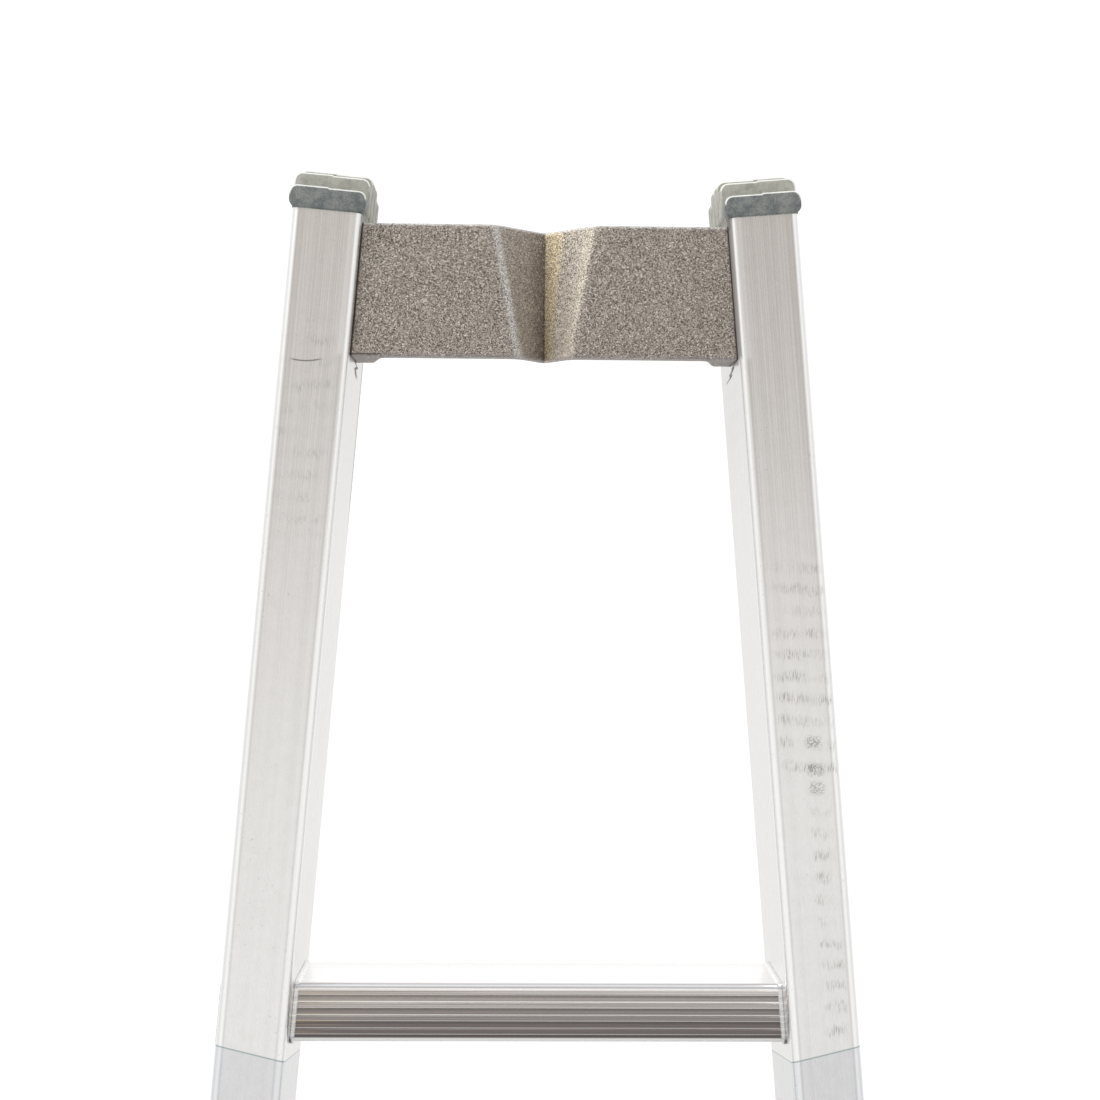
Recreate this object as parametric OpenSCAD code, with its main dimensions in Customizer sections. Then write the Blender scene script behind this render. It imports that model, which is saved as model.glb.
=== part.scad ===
/* [Ladder] */
// Height from one rung to the next
rung_pitch = 280; // [272:1:300]
// Rungs of the base section
base_rungs = 7; // [6:1:9]
// Rungs of the fly section above the base section's top rung
fly_extra_rungs = 3; // [2:1:4]
// Outer width across the straight stiles
ladder_w = 350; // [330:1:380]
// Outer width across the stiles at the very top
top_w = 194; // [180:1:210]
// Height of the fly stile's bend above the base section's top rung
bend_rise = 216; // [200:1:225]
// Radius of the stile's bend, on its centre line
bend_radius = 300; // [200:10:400]
// Rung pitches that the fly section can be raised by
travel_pitches = 4; // [2:1:4]
// Gap between the two sections
section_gap = 3; // [2:0.5:5]

/* [Stiles] */
// Width of a stile, seen from the front
stile_w = 27; // [24:0.5:32]
// Depth of a stile, front to back
stile_d = 58; // [54:0.5:66]
// Wall of the stile's box section
stile_wall = 2; // [1.6:0.1:2.6]
// Radius of the stile's outer corners
stile_r = 3; // [2.6:0.1:4]
// Top of the base section's stiles above its top rung
base_head = 96; // [90:1:110]
// Bottom of the fly section's stiles below its lowest rung
fly_tail = 140; // [130:1:150]

/* [Rungs] */
// Depth of a rung, front to back
rung_d = 34; // [28:0.5:36]
// Height of a rung
rung_h = 23; // [21:0.5:26]
// Radius of a rung's long edges
rung_r = 2.5; // [2:0.1:4]
// Wall of a rung
rung_wall = 2.2; // [1.8:0.1:2.6]
// Ribs on each upright face of a rung
rib_count = 4; // [3:1:4]
// Spacing of the ribs
rib_pitch = 5.1; // [4.6:0.1:5.4]
// Width of a rib
rib_w = 2.3; // [1.4:0.1:2.6]
// Height of a rib
rib_h = 0.7; // [0.4:0.1:1]
// Distance from the rung's top to its first rib's centre
rib_first = 3.2; // [2.6:0.1:3.6]
// Width of the pressed collar beside each stile
collar_w = 1.8; // [1.2:0.1:3]
// Height of the collar above the rung's surface
collar_h = 0.9; // [0.8:0.1:1.6]
// Thickness of the flange that locks the rung outside the stile
flange_t = 1.2; // [0.8:0.1:1.4]
// Width of that flange around the rung
flange_w = 2.8; // [2:0.1:3.2]

/* [Top bracket] */
// Height of the pole rest casting
bracket_h = 51; // [46:1:60]
// Distance of the casting's top below the stile's end
bracket_drop = 5; // [3:0.5:8]
// Setback of the casting behind the front of the stiles
bracket_setback = 3.4; // [2:0.1:5]
// Thickness of the casting's plate
bracket_t = 8; // [6:0.5:9]
// Width of the notch at the casting's top edge
notch_top_w = 39; // [34:1:46]
// Width of the notch at its bottom edge
notch_bottom_w = 20; // [16:1:26]
// Depth of the notch
notch_depth = 16.5; // [12:0.5:20]
// Wall of the casting behind the notch
notch_wall = 6; // [5:0.5:8]
// Width of the casting's end lugs where they leave the plate
lug_root_w = 11.5; // [10:0.5:13]
// Width of the end lugs at their rear
lug_w = 7; // [6:0.5:9]
// Depth of the end lugs behind the plate's face
lug_d = 26; // [22:1:28]
// Spacing of the two screws in each lug
screw_spacing = 22; // [18:1:26]

/* [Caps and feet] */
// Width of a cap's rib
cap_rib_w = 8.8; // [5:0.2:9.4]
// Height of the outer ribs above the stile's end
cap_edge_h = 8.6; // [7:0.1:10]
// Height of the dome that the ribs follow, above the stile's end
cap_crown_h = 19; // [16:0.5:21]
// Overhang of a cap past the stile's faces
cap_lip = 1.2; // [0.8:0.1:1.4]
// Rounding of a rib's ends
cap_rib_r = 3.2; // [2:0.1:3.8]
// Height of the solid under the grooves
cap_base_h = 5.5; // [4:0.1:6.5]
// Length of the plug inside the stile
plug_len = 10; // [6:0.5:11]
// Height of a foot below the stile
foot_h = 22; // [18:1:26]
// Depth of the grooves in a foot's tread
tread_depth = 4; // [3:0.5:5]

/* [Guides and stops] */
// Height of a guide
guide_h = 60; // [50:1:64]
// Thickness of a guide's plate
guide_t = 3; // [2.5:0.1:4]
// Gap between a guide's plate and the stile it wraps
guide_gap = 2.5; // [2:0.1:3]
// Width of a guide's lip
guide_lip = 20; // [16:0.5:24]
// Thickness of the glide pad on the lip
glide_t = 2; // [1.5:0.1:3]
// Play between a glide pad and the stile
glide_play = 0.4; // [0.3:0.05:0.8]
// Drop of the base guide below the top of the base stile
guide_drop = 12; // [10:1:14]
// Height of a stop block
stop_h = 20; // [14:1:22]
// Reach of a stop block from the stile
stop_reach = 7; // [6:0.5:9]

/* [Rung latches] */
// Height of the latch bolt
bolt_h = 14; // [12:0.5:16]
// Width of the latch bolt
bolt_w = 16; // [14:0.5:18]
// Reach of the bolt over the base section's rung
bolt_reach = 16; // [12:1:18]
// Travel of the bolt when it is pulled back
bolt_travel = 20; // [18.5:0.5:22]
// Wire of the latch spring
spring_wire = 1.6; // [1.2:0.1:1.8]
// Turns of the latch spring
spring_turns = 6; // [4:1:6]
// Play between the bolt and its housing
bolt_play = 0.35; // [0.3:0.05:0.6]
// Play between the bolt and the rung it sits on
seat_play = 0.3; // [0.2:0.05:0.5]
// Wall of the latch housing
housing_wall = 4; // [3.5:0.1:5]
// Diameter of the bolt's pull rod
rod_dia = 8; // [7:0.5:9]
// Diameter of the pull knob
knob_dia = 24; // [20:1:26]
// Length of the pull knob
knob_len = 9.5; // [7:0.5:10]

/* [Fasteners] */
// Shank diameter of the rivets
rivet_dia = 4.8; // [4:0.1:5]
// Head diameter of the rivets
rivet_head = 9.5; // [8:0.1:10]
// Height of a rivet's head
rivet_head_h = 1.5; // [1.2:0.1:1.6]
// Diameter of the screws in the top casting
screw_dia = 6; // [5:0.5:6.5]
// Head diameter of those screws
screw_head = 10; // [9:0.5:11]
// Play around a shank in its hole
hole_play = 0.1; // [0.05:0.05:0.2]

/* [Hidden] */
SIDES = [["left", -1], ["right", 1]];
fly_rungs = base_rungs + fly_extra_rungs;
$fn = 64;
// How far a cutting shape runs past the face that it cuts
cut = 1;
bend_fn = 240;
bend_lap = 0.02;
bend_swell = 0.01;

half_w = ladder_w / 2;
inner_x = half_w - stile_w;
fly_y = (section_gap + stile_d) / 2;
base_y = -fly_y;
base_top = base_rungs * rung_pitch + base_head;
fly_bottom = rung_pitch - fly_tail;
travel = travel_pitches * rung_pitch;

// Pole rest, and the tapered top that ends just above it
bracket_z = (fly_rungs + 1) * rung_pitch;
bracket_top = bracket_z + bracket_h / 2;
bracket_bottom = bracket_z - bracket_h / 2;
bracket_front = fly_y - stile_d / 2 + bracket_setback;
fly_top = bracket_top + bracket_drop;
bend_z = base_rungs * rung_pitch + bend_rise;
taper_angle = atan((half_w - top_w / 2) / (fly_top - bend_z));
bend_outer = bend_radius + stile_w / 2;
bend_tangent = bend_outer * tan(taper_angle / 2);
leg_len = (fly_top - bend_z) / cos(taper_angle) - bend_tangent;

// Rung sockets and joints
socket_play = 0.12;
rib_inset = 1.2;
rung_bore_r = 1;
trim_reach = 60;
hole_r = (rivet_dia + hole_play) / 2;
rivet_tail_r = 3.6;
rivet_tail_h = 3;

// Plugs, caps and feet
cap_ribs = 6;
plug_play = 0.2;
wall_round = 0.5;
plug_r = stile_r - stile_wall + wall_round;
cap_inset = 1;
foot_lip = 2;
foot_plug_len = 20;
foot_grooves = 4;
foot_groove_w = 5;

// Guides, glide pads and stops
guide_x = half_w + guide_gap;
guide_outer_x = guide_x + guide_t;
guide_lip_x = guide_outer_x - guide_lip;
glide_front = fly_y + stile_d / 2 + glide_play;
lip_y = glide_front + glide_t;
guide_pad_d = 40;
guide_rivet_y = 12;
guide_rivet_z = 18;
glide_inset = 3;
base_guide_z = base_top - guide_drop - guide_h / 2;
fly_guide_rise = 25;
fly_guide_z = fly_bottom + fly_guide_rise + guide_h / 2;
stop_gap = 0.3;
stop_d = 24;
stop_z = fly_guide_z + guide_h / 2 + travel + stop_gap + stop_h / 2;
stop_rivet_z = 5;

// Rung latches, which slide along the top of the fly section's lowest rung
rung_top = rung_pitch + rung_h / 2;
bolt_bottom = rung_top + seat_play;
bolt_top = bolt_bottom + bolt_h;
bolt_x = inner_x - housing_wall - bolt_play - bolt_w / 2;
bolt_front = base_y + rung_d / 2 - bolt_reach;
bolt_setback = 12.5;
bolt_rear = fly_y - bolt_setback;
bolt_bevel = 9;
spring_space = 11.5;
housing_seat = 0.3;
housing_bottom = rung_top + collar_h + housing_seat;
housing_top = bolt_top + bolt_play + housing_wall;
housing_inset = 1;
housing_front = section_gap / 2 + housing_inset;
cavity_rear = bolt_rear + bolt_travel + spring_space;
housing_rear = cavity_rear + housing_wall;
housing_half_w = bolt_w / 2 + bolt_play + housing_wall;
flange_rise = 42;
flange_top = housing_top + flange_rise;
latch_rivet_rise = 22;
latch_rivet_z = housing_top + latch_rivet_rise;
latch_rivet_y = 14;
rod_z = (bolt_bottom + bolt_top) / 2;
knob_gap = 0.6;
knob_front = housing_rear + knob_gap;
knob_grip = 0.6;
knob_stem = 0.3;
spring_gap = 0.1;
spring_sides = 8;
spring_steps = 14;

// Casting screws, driven through access holes in the stiles' outer walls
screw_setback = 8;
screw_y = bracket_front + bracket_t + screw_setback;
screw_head_h = 5;
screw_tip = 1.5;
access_play = 2;
access_r = screw_head / 2 + access_play;
screw_end_play = 0.5;
hex_r = screw_dia / 3;
lug_over = 5;
lug_into = 10;
cast_play = 0.15;

// Outer plane of a stile at a height, measured from the middle of the ladder
function outer_x(z) = z < bend_z ? half_w : half_w - (z - bend_z) * tan(taper_angle);
// Inner plane of a stile at a height
function inner_plane_x(z) = z < bend_z ? inner_x : outer_x(z) - stile_w / cos(taper_angle);
// Distance along the leaning leg of the point of its outer plane at a height
function leg_outer(z) = (z - bend_z) / cos(taper_angle) - bend_tangent;
// The same for its inner plane
function leg_inner(z) = leg_outer(z) + stile_w * tan(taper_angle);

// Right side for 1, left side for -1
module on_side(side) {
    if (side < 0)
        mirror([1, 0, 0]) children();
    else
        children();
}

// Frame of the right fly stile's leaning leg: x = 0 on its outer plane, z = 0 where the lean starts
module leaning() {
    translate([half_w - bend_outer, 0, bend_z - bend_tangent])
        rotate([0, -taper_angle, 0])
            translate([bend_outer, 0, 0])
                children();
}

module rounded_rect(w, h, r) {
    square([w - 2 * r, h], center = true);
    square([w, h - 2 * r], center = true);
    for (x = [-1, 1], y = [-1, 1])
        translate([x * (w / 2 - r), y * (h / 2 - r)])
            circle(r);
}

// Extrudes a profile drawn in Y and Z from x0 to x1
module along_x(x0, x1) {
    translate([x0, 0, 0])
        rotate([90, 0, 90])
            linear_extrude(x1 - x0)
                children();
}

// Round bar along X from x0 to x1
module bar_x(r, x0, x1) {
    translate([x0, 0, 0])
        rotate([0, 90, 0])
            cylinder(r = r, h = x1 - x0);
}

// Block between two corners
module block(low, high) {
    translate(low)
        cube(high - low);
}

// ---------- stiles ----------

// Section of a stile, with its wall swelled on both sides
module stile_section(swell = 0) {
    bore = 2 * (stile_wall + swell);
    difference() {
        rounded_rect(stile_w + 2 * swell, stile_d + 2 * swell, stile_r);
        rounded_rect(stile_w - bore, stile_d - bore, plug_r);
    }
}

module rung_outline(grow) {
    rounded_rect(rung_d + 2 * grow, rung_h + 2 * grow, rung_r + grow);
}

module rung_socket(y, z) {
    translate([0, y, z])
        along_x(0, half_w + flange_t + cut)
            rung_outline(socket_play);
}

module guide_rivet_places() {
    for (y = [-guide_rivet_y, guide_rivet_y], z = [-guide_rivet_z, guide_rivet_z])
        translate([0, y, z])
            children();
}

module stop_rivet_places() {
    for (z = [-stop_rivet_z, stop_rivet_z])
        translate([0, base_y, stop_z + z])
            children();
}

module latch_rivet_places() {
    for (y = [-latch_rivet_y, latch_rivet_y])
        translate([0, fly_y + y, latch_rivet_z])
            children();
}

module outer_rivet_hole() {
    bar_x(hole_r, half_w - stile_wall - cut, half_w + cut);
}

module base_stile(side) {
    color("gainsboro")
        on_side(side)
            difference() {
                translate([half_w - stile_w / 2, base_y, foot_h])
                    linear_extrude(base_top - foot_h)
                        stile_section();
                for (i = [1:base_rungs])
                    rung_socket(base_y, i * rung_pitch);
                translate([0, base_y, base_guide_z])
                    guide_rivet_places()
                        outer_rivet_hole();
                stop_rivet_places()
                    outer_rivet_hole();
            }
}

// Straight leg, bend and leaning leg of the right stile
module fly_stile_body() {
    translate([half_w - stile_w / 2, fly_y, fly_bottom])
        linear_extrude(bend_z - bend_tangent - fly_bottom)
            stile_section();
    translate([half_w - bend_outer, fly_y, bend_z - bend_tangent])
        rotate([90, bend_lap, 0])
            rotate_extrude(angle = taper_angle + 2 * bend_lap, $fn = bend_fn)
                translate([bend_radius, 0])
                    stile_section(bend_swell);
    leaning()
        translate([-stile_w / 2, fly_y, 0])
            linear_extrude(leg_len)
                stile_section();
}

module screw_places() {
    for (z = [-screw_spacing / 2, screw_spacing / 2])
        leaning()
            translate([-stile_w, screw_y, leg_inner(bracket_z + z)])
                children();
}

module fly_stile(side) {
    color("gainsboro")
        on_side(side)
            difference() {
                fly_stile_body();
                for (i = [1:fly_rungs])
                    rung_socket(fly_y, i * rung_pitch);
                translate([0, fly_y, fly_guide_z])
                    guide_rivet_places()
                        outer_rivet_hole();
                latch_rivet_places()
                    bar_x(hole_r, inner_x - cut, inner_x + stile_wall + cut);
                screw_places() {
                    bar_x(screw_dia / 2 + hole_play, -cut, stile_wall + cut);
                    bar_x(access_r, stile_w - stile_wall - cut, stile_w + cut);
                }
            }
}

// ---------- rungs ----------

module rung_ribs(y, z) {
    reach = inner_plane_x(z) - rib_inset;
    translate([0, y, z])
        along_x(-reach, reach)
            for (s = [-1, 1], i = [0:rib_count - 1])
                translate([s * rung_d / 2, rung_h / 2 - rib_first - i * rib_pitch])
                    square([2 * rib_h, rib_w], center = true);
}

// Collar inside the stile's inner wall and flange outside its outer wall
module rung_end(y, z) {
    if (z < bend_z) {
        translate([0, y, z]) {
            along_x(inner_x - collar_w, inner_x) rung_outline(collar_h);
            along_x(half_w, half_w + flange_t) rung_outline(flange_w);
        }
    } else {
        leaning() {
            translate([0, y, leg_inner(z)])
                along_x(-stile_w - collar_w, -stile_w) rung_outline(collar_h);
            translate([0, y, leg_outer(z)])
                along_x(0, flange_t) rung_outline(flange_w);
        }
    }
}

// Everything beyond the flange's outer plane
module rung_trim(y, z) {
    reach = trim_reach;
    if (z < bend_z)
        block([half_w + flange_t, y - reach, z - reach], [half_w + reach, y + reach, z + reach]);
    else
        leaning()
            block([flange_t, y - reach, leg_outer(z) - reach], [reach, y + reach, leg_outer(z) + reach]);
}

module rung(y, z) {
    reach = outer_x(z) + flange_t + 2 * cut;
    color("silver")
        difference() {
            union() {
                translate([0, y, z])
                    along_x(-reach, reach) rung_outline(0);
                rung_ribs(y, z);
                for (s = SIDES)
                    on_side(s[1]) rung_end(y, z);
            }
            translate([0, y, z])
                along_x(-reach - cut, reach + cut)
                    rounded_rect(rung_d - 2 * rung_wall, rung_h - 2 * rung_wall, rung_bore_r);
            for (s = SIDES)
                on_side(s[1]) rung_trim(y, z);
        }
}

// ---------- caps, tail plugs and feet ----------

// Solid that fills a stile's end from z = -length up to z = 0
module plug(length) {
    inset = stile_wall + plug_play;
    translate([0, 0, -length])
        linear_extrude(length)
            rounded_rect(stile_w - 2 * inset, stile_d - 2 * inset, plug_r);
}

// Domed cap with ribs across it, on a stile's end at z = 0
module cap_shape() {
    full_w = stile_w + 2 * cap_lip;
    full_d = stile_d + 2 * cap_lip;
    edge_y = (full_d - cap_rib_w) / 2;
    rise = cap_crown_h - cap_edge_h;
    dome_r = (edge_y * edge_y + rise * rise) / (2 * rise);
    plug(plug_len);
    linear_extrude(cap_base_h)
        rounded_rect(full_w - 2 * cap_inset, full_d - 2 * cap_inset, stile_r);
    for (i = [0:cap_ribs - 1]) {
        y = -edge_y + i * 2 * edge_y / (cap_ribs - 1);
        height = cap_crown_h - dome_r + sqrt(dome_r * dome_r - y * y);
        translate([0, y, height / 2])
            rotate([90, 0, 0])
                linear_extrude(cap_rib_w, center = true)
                    rounded_rect(full_w, height, cap_rib_r);
    }
}

// Foot under a stile whose end is at z = 0, with grooves across its tread
module foot_shape() {
    full_w = stile_w + 2 * foot_lip;
    full_d = stile_d + 2 * foot_lip;
    mirror([0, 0, 1])
        plug(foot_plug_len);
    difference() {
        translate([0, 0, -foot_h])
            linear_extrude(foot_h)
                rounded_rect(full_w, full_d, stile_r + foot_lip);
        for (i = [1:foot_grooves])
            translate([0, -full_d / 2 + i * full_d / (foot_grooves + 1), -foot_h])
                cube([full_w + 2 * cut, foot_groove_w, 2 * tread_depth], center = true);
    }
}

module base_cap(side) {
    color("slategray")
        on_side(side)
            translate([half_w - stile_w / 2, base_y, base_top])
                cap_shape();
}

module foot(side) {
    color("dimgray")
        on_side(side)
            translate([half_w - stile_w / 2, base_y, foot_h])
                foot_shape();
}

module fly_cap(side) {
    color("slategray")
        on_side(side)
            leaning()
                translate([-stile_w / 2, fly_y, leg_len])
                    cap_shape();
}

module fly_tail_plug(side) {
    color("slategray")
        on_side(side)
            translate([half_w - stile_w / 2, fly_y, fly_bottom])
                mirror([0, 0, 1])
                    cap_shape();
}

// ---------- guides, glide pads and stops ----------

// Plate beside both sections, packed off its own stile, with a lip behind the other section
module guide_profile() {
    translate([half_w, base_y - guide_pad_d / 2])
        square([guide_gap, guide_pad_d]);
    translate([guide_x, base_y - guide_pad_d / 2])
        square([guide_t, lip_y - base_y + guide_pad_d / 2]);
    translate([guide_lip_x, lip_y])
        square([guide_x - guide_lip_x, guide_t]);
    intersection() {
        translate([guide_x, lip_y])
            circle(guide_t);
        translate([guide_x, lip_y])
            square(guide_t);
    }
}

module guide_shape(z) {
    difference() {
        translate([0, 0, z - guide_h / 2])
            linear_extrude(guide_h)
                guide_profile();
        translate([0, base_y, z])
            guide_rivet_places()
                bar_x(hole_r, half_w - cut, guide_outer_x + cut);
    }
}

// Plastic pad on the lip's inner face
module glide_shape(z) {
    block(
        [guide_lip_x, glide_front, z - guide_h / 2 + glide_inset],
        [half_w - stile_r, lip_y, z + guide_h / 2 - glide_inset]
    );
}

module base_guide(side) {
    color("darkgray")
        on_side(side)
            guide_shape(base_guide_z);
}

module base_glide(side) {
    color("black")
        on_side(side)
            glide_shape(base_guide_z);
}

module fly_guide(side) {
    color("darkgray")
        on_side(side)
            mirror([0, 1, 0])
                guide_shape(fly_guide_z);
}

module fly_glide(side) {
    color("black")
        on_side(side)
            mirror([0, 1, 0])
                glide_shape(fly_guide_z);
}

// Block that the fly section's guide meets at full height
module stop(side) {
    color("darkgray")
        on_side(side)
            difference() {
                translate([half_w + stop_reach / 2, base_y, stop_z])
                    cube([stop_reach, stop_d, stop_h], center = true);
                stop_rivet_places()
                    bar_x(hole_r, half_w - cut, half_w + stop_reach + cut);
            }
}

// ---------- rivets ----------

// Rivet along X: domed head beyond x = grip, shank, and a swelled tail inside the stile below x = 0
module rivet(grip) {
    dome_r = (rivet_head * rivet_head / 4 + rivet_head_h * rivet_head_h) / (2 * rivet_head_h);
    rotate([0, 90, 0])
        rotate_extrude() {
            translate([0, -stile_wall])
                square([rivet_dia / 2, grip + stile_wall]);
            translate([0, -stile_wall - rivet_tail_h])
                square([rivet_tail_r, rivet_tail_h]);
            translate([0, grip])
                intersection() {
                    translate([0, rivet_head_h - dome_r]) circle(dome_r);
                    square([rivet_head / 2, rivet_head_h]);
                }
        }
}

module base_rivets() {
    color("lightgray")
        for (s = SIDES)
            on_side(s[1]) {
                translate([half_w, base_y, base_guide_z])
                    guide_rivet_places() rivet(guide_gap + guide_t);
                translate([half_w, 0, 0])
                    stop_rivet_places() rivet(stop_reach);
            }
}

module fly_rivets() {
    color("lightgray")
        for (s = SIDES)
            on_side(s[1]) {
                translate([half_w, fly_y, fly_guide_z])
                    guide_rivet_places() rivet(guide_gap + guide_t);
                translate([inner_x, 0, 0])
                    latch_rivet_places()
                        mirror([1, 0, 0]) rivet(housing_wall);
            }
}

// ---------- top bracket ----------

// Points of the notch's plan at a height, for a width at the casting's face
function notch_ring(w, depth, front, z) = [
    [-w / 2, -front, z], [w / 2, -front, z], [w / 2, 0, z], [0, depth, z], [-w / 2, 0, z]
];

// Wedge of the notch, which widens upwards, grown by side_grow and back_grow and over its ends
module notch_solid(side_grow, back_grow, over) {
    slope = (notch_top_w - notch_bottom_w) / bracket_h;
    low_w = notch_bottom_w - slope * over + 2 * side_grow;
    high_w = notch_top_w + slope * over + 2 * side_grow;
    depth = notch_depth + back_grow;
    translate([0, bracket_front, 0])
        polyhedron(
            points = concat(
                notch_ring(low_w, depth, over, bracket_bottom - over),
                notch_ring(high_w, depth, over, bracket_top + over)
            ),
            faces = [
                [0, 1, 2, 3, 4], [9, 8, 7, 6, 5],
                [0, 5, 6, 1], [1, 6, 7, 2], [4, 9, 5, 0],
                [2, 7, 3], [7, 8, 3], [3, 8, 9], [3, 9, 4]
            ]
        );
}

// Plan of an end lug, measured from the stile's inner plane, whose root lies in the middle of the plate
module lug_profile() {
    root_y = bracket_t / 2;
    slant = (lug_root_w - lug_w) / (lug_d - bracket_t);
    root_w = lug_root_w + slant * (bracket_t - root_y);
    polygon([[0, root_y], [0, lug_d], [-lug_w, lug_d], [-root_w, root_y]]);
}

module top_bracket() {
    reach = inner_plane_x(bracket_bottom) + lug_into;
    over = lug_over;
    color("dimgray")
        difference() {
            union() {
                block(
                    [-reach, bracket_front, bracket_bottom],
                    [reach, bracket_front + bracket_t, bracket_top]
                );
                intersection() {
                    notch_solid(notch_wall, notch_wall, cut);
                    block(
                        [-reach, bracket_front, bracket_bottom],
                        [reach, bracket_front + lug_d, bracket_top]
                    );
                }
                intersection() {
                    for (s = SIDES)
                        on_side(s[1])
                            leaning()
                                translate([-stile_w, bracket_front, leg_inner(bracket_bottom) - over])
                                    linear_extrude(bracket_h + 2 * over)
                                        lug_profile();
                    block(
                        [-reach, bracket_front, bracket_bottom],
                        [reach, bracket_front + lug_d, bracket_top]
                    );
                }
            }
            notch_solid(0, 0, cut);
            for (s = SIDES)
                on_side(s[1]) {
                    leaning()
                        block(
                            [-stile_w - cast_play, bracket_front - cut, leg_inner(bracket_bottom) - over],
                            [over, bracket_front + lug_d + cut, leg_inner(bracket_top) + over]
                        );
                    screw_places()
                        bar_x(screw_dia / 2 + hole_play, screw_tip - lug_w, cut);
                }
        }
}

// Screws through the stiles' inner walls into the casting's lugs
module bracket_screws() {
    color("silver")
        for (s = SIDES)
            on_side(s[1])
                screw_places() {
                    bar_x(screw_dia / 2, screw_tip + screw_end_play - lug_w, stile_wall);
                    difference() {
                        bar_x(screw_head / 2, stile_wall, stile_wall + screw_head_h);
                        translate([stile_wall + screw_head_h / 2, 0, 0])
                            rotate([0, 90, 0])
                                cylinder(r = hex_r, h = screw_head_h, $fn = 6);
                    }
                }
}

// ---------- rung latches ----------

// Cover over the bolt with a flange that is riveted to the stile's inner wall
module latch_housing(side) {
    inner_half = housing_half_w - housing_wall;
    color("darkgray")
        on_side(side)
            difference() {
                union() {
                    block(
                        [bolt_x - housing_half_w, housing_front, housing_bottom],
                        [inner_x, housing_rear, housing_top]
                    );
                    block(
                        [inner_x - housing_wall, housing_front, housing_bottom],
                        [inner_x, housing_rear, flange_top]
                    );
                }
                block(
                    [bolt_x - inner_half, housing_front - cut, housing_bottom - cut],
                    [bolt_x + inner_half, cavity_rear, bolt_top + bolt_play]
                );
                translate([bolt_x, cavity_rear - cut, rod_z])
                    rotate([-90, 0, 0])
                        cylinder(d = rod_dia + 2 * bolt_play, h = housing_wall + 2 * cut);
                latch_rivet_places()
                    bar_x(hole_r, inner_x - housing_wall - cut, inner_x + cut);
            }
}

// Bolt with a bevelled nose and its pull rod
module latch_bolt(side) {
    color("silver")
        on_side(side)
            translate([bolt_x, 0, 0]) {
                difference() {
                    block([-bolt_w / 2, bolt_front, bolt_bottom], [bolt_w / 2, bolt_rear, bolt_top]);
                    translate([0, bolt_front, bolt_top])
                        rotate([45, 0, 0])
                            cube([bolt_w + 2 * cut, bolt_bevel * sqrt(2), bolt_bevel * sqrt(2)], center = true);
                }
                translate([0, bolt_rear, rod_z])
                    rotate([-90, 0, 0])
                        cylinder(d = rod_dia, h = knob_front + knob_len * knob_grip - bolt_rear);
            }
}

// Waisted pull knob on the rod's end
module latch_knob(side) {
    color("black")
        on_side(side)
            translate([bolt_x, knob_front, rod_z])
                rotate([-90, 0, 0])
                    rotate_extrude()
                        difference() {
                            union() {
                                square([knob_dia * knob_stem, knob_len]);
                                translate([0, knob_len / 2])
                                    square([knob_dia / 2, knob_len / 2]);
                            }
                            square([rod_dia / 2 + hole_play, knob_len * knob_grip + hole_play]);
                        }
}

// Ring of the spring's wire after a number of turns, for a coil along Y that is length long
function spring_ring(turn, length, r) = [
    for (k = [0:spring_sides - 1])
        let (
            around = 360 * turn,
            angle = 360 * k / spring_sides,
            out = r + spring_wire / 2 * cos(angle),
            along = (length - spring_wire) * turn / spring_turns + spring_wire / 2
        )
        [out * cos(around), along + spring_wire / 2 * sin(angle), out * sin(around)]
];

// Compression spring around the rod, between the bolt and the housing's rear wall
module latch_spring(side) {
    length = cavity_rear - bolt_rear - 2 * spring_gap;
    rings = spring_turns * spring_steps;
    r = rod_dia / 2 + spring_wire / 2 + 2 * bolt_play;
    last = rings * spring_sides;
    color("silver")
        on_side(side)
            translate([bolt_x, bolt_rear + spring_gap, rod_z])
                polyhedron(
                    points = [for (i = [0:rings]) each spring_ring(i / spring_steps, length, r)],
                    faces = concat(
                        [[for (k = [0:spring_sides - 1]) k]],
                        [[for (k = [spring_sides - 1:-1:0]) last + k]],
                        [
                            for (i = [0:rings - 1], k = [0:spring_sides - 1])
                                let (
                                    a = i * spring_sides + k,
                                    b = i * spring_sides + (k + 1) % spring_sides
                                )
                                [a, a + spring_sides, b + spring_sides, b]
                        ]
                    )
                );
}

for (s = SIDES) {
    base_stile(s[1]);
    base_cap(s[1]);
    foot(s[1]);
    base_guide(s[1]);
    base_glide(s[1]);
    stop(s[1]);
    fly_stile(s[1]);
    fly_cap(s[1]);
    fly_tail_plug(s[1]);
    fly_guide(s[1]);
    fly_glide(s[1]);
    latch_housing(s[1]);
    latch_spring(s[1]);
    latch_bolt(s[1]);
    latch_knob(s[1]);
}
for (i = [1:base_rungs])
    rung(base_y, i * rung_pitch);
for (i = [1:fly_rungs])
    rung(fly_y, i * rung_pitch);
base_rivets();
top_bracket();
bracket_screws();
fly_rivets();
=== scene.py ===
import math

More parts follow.
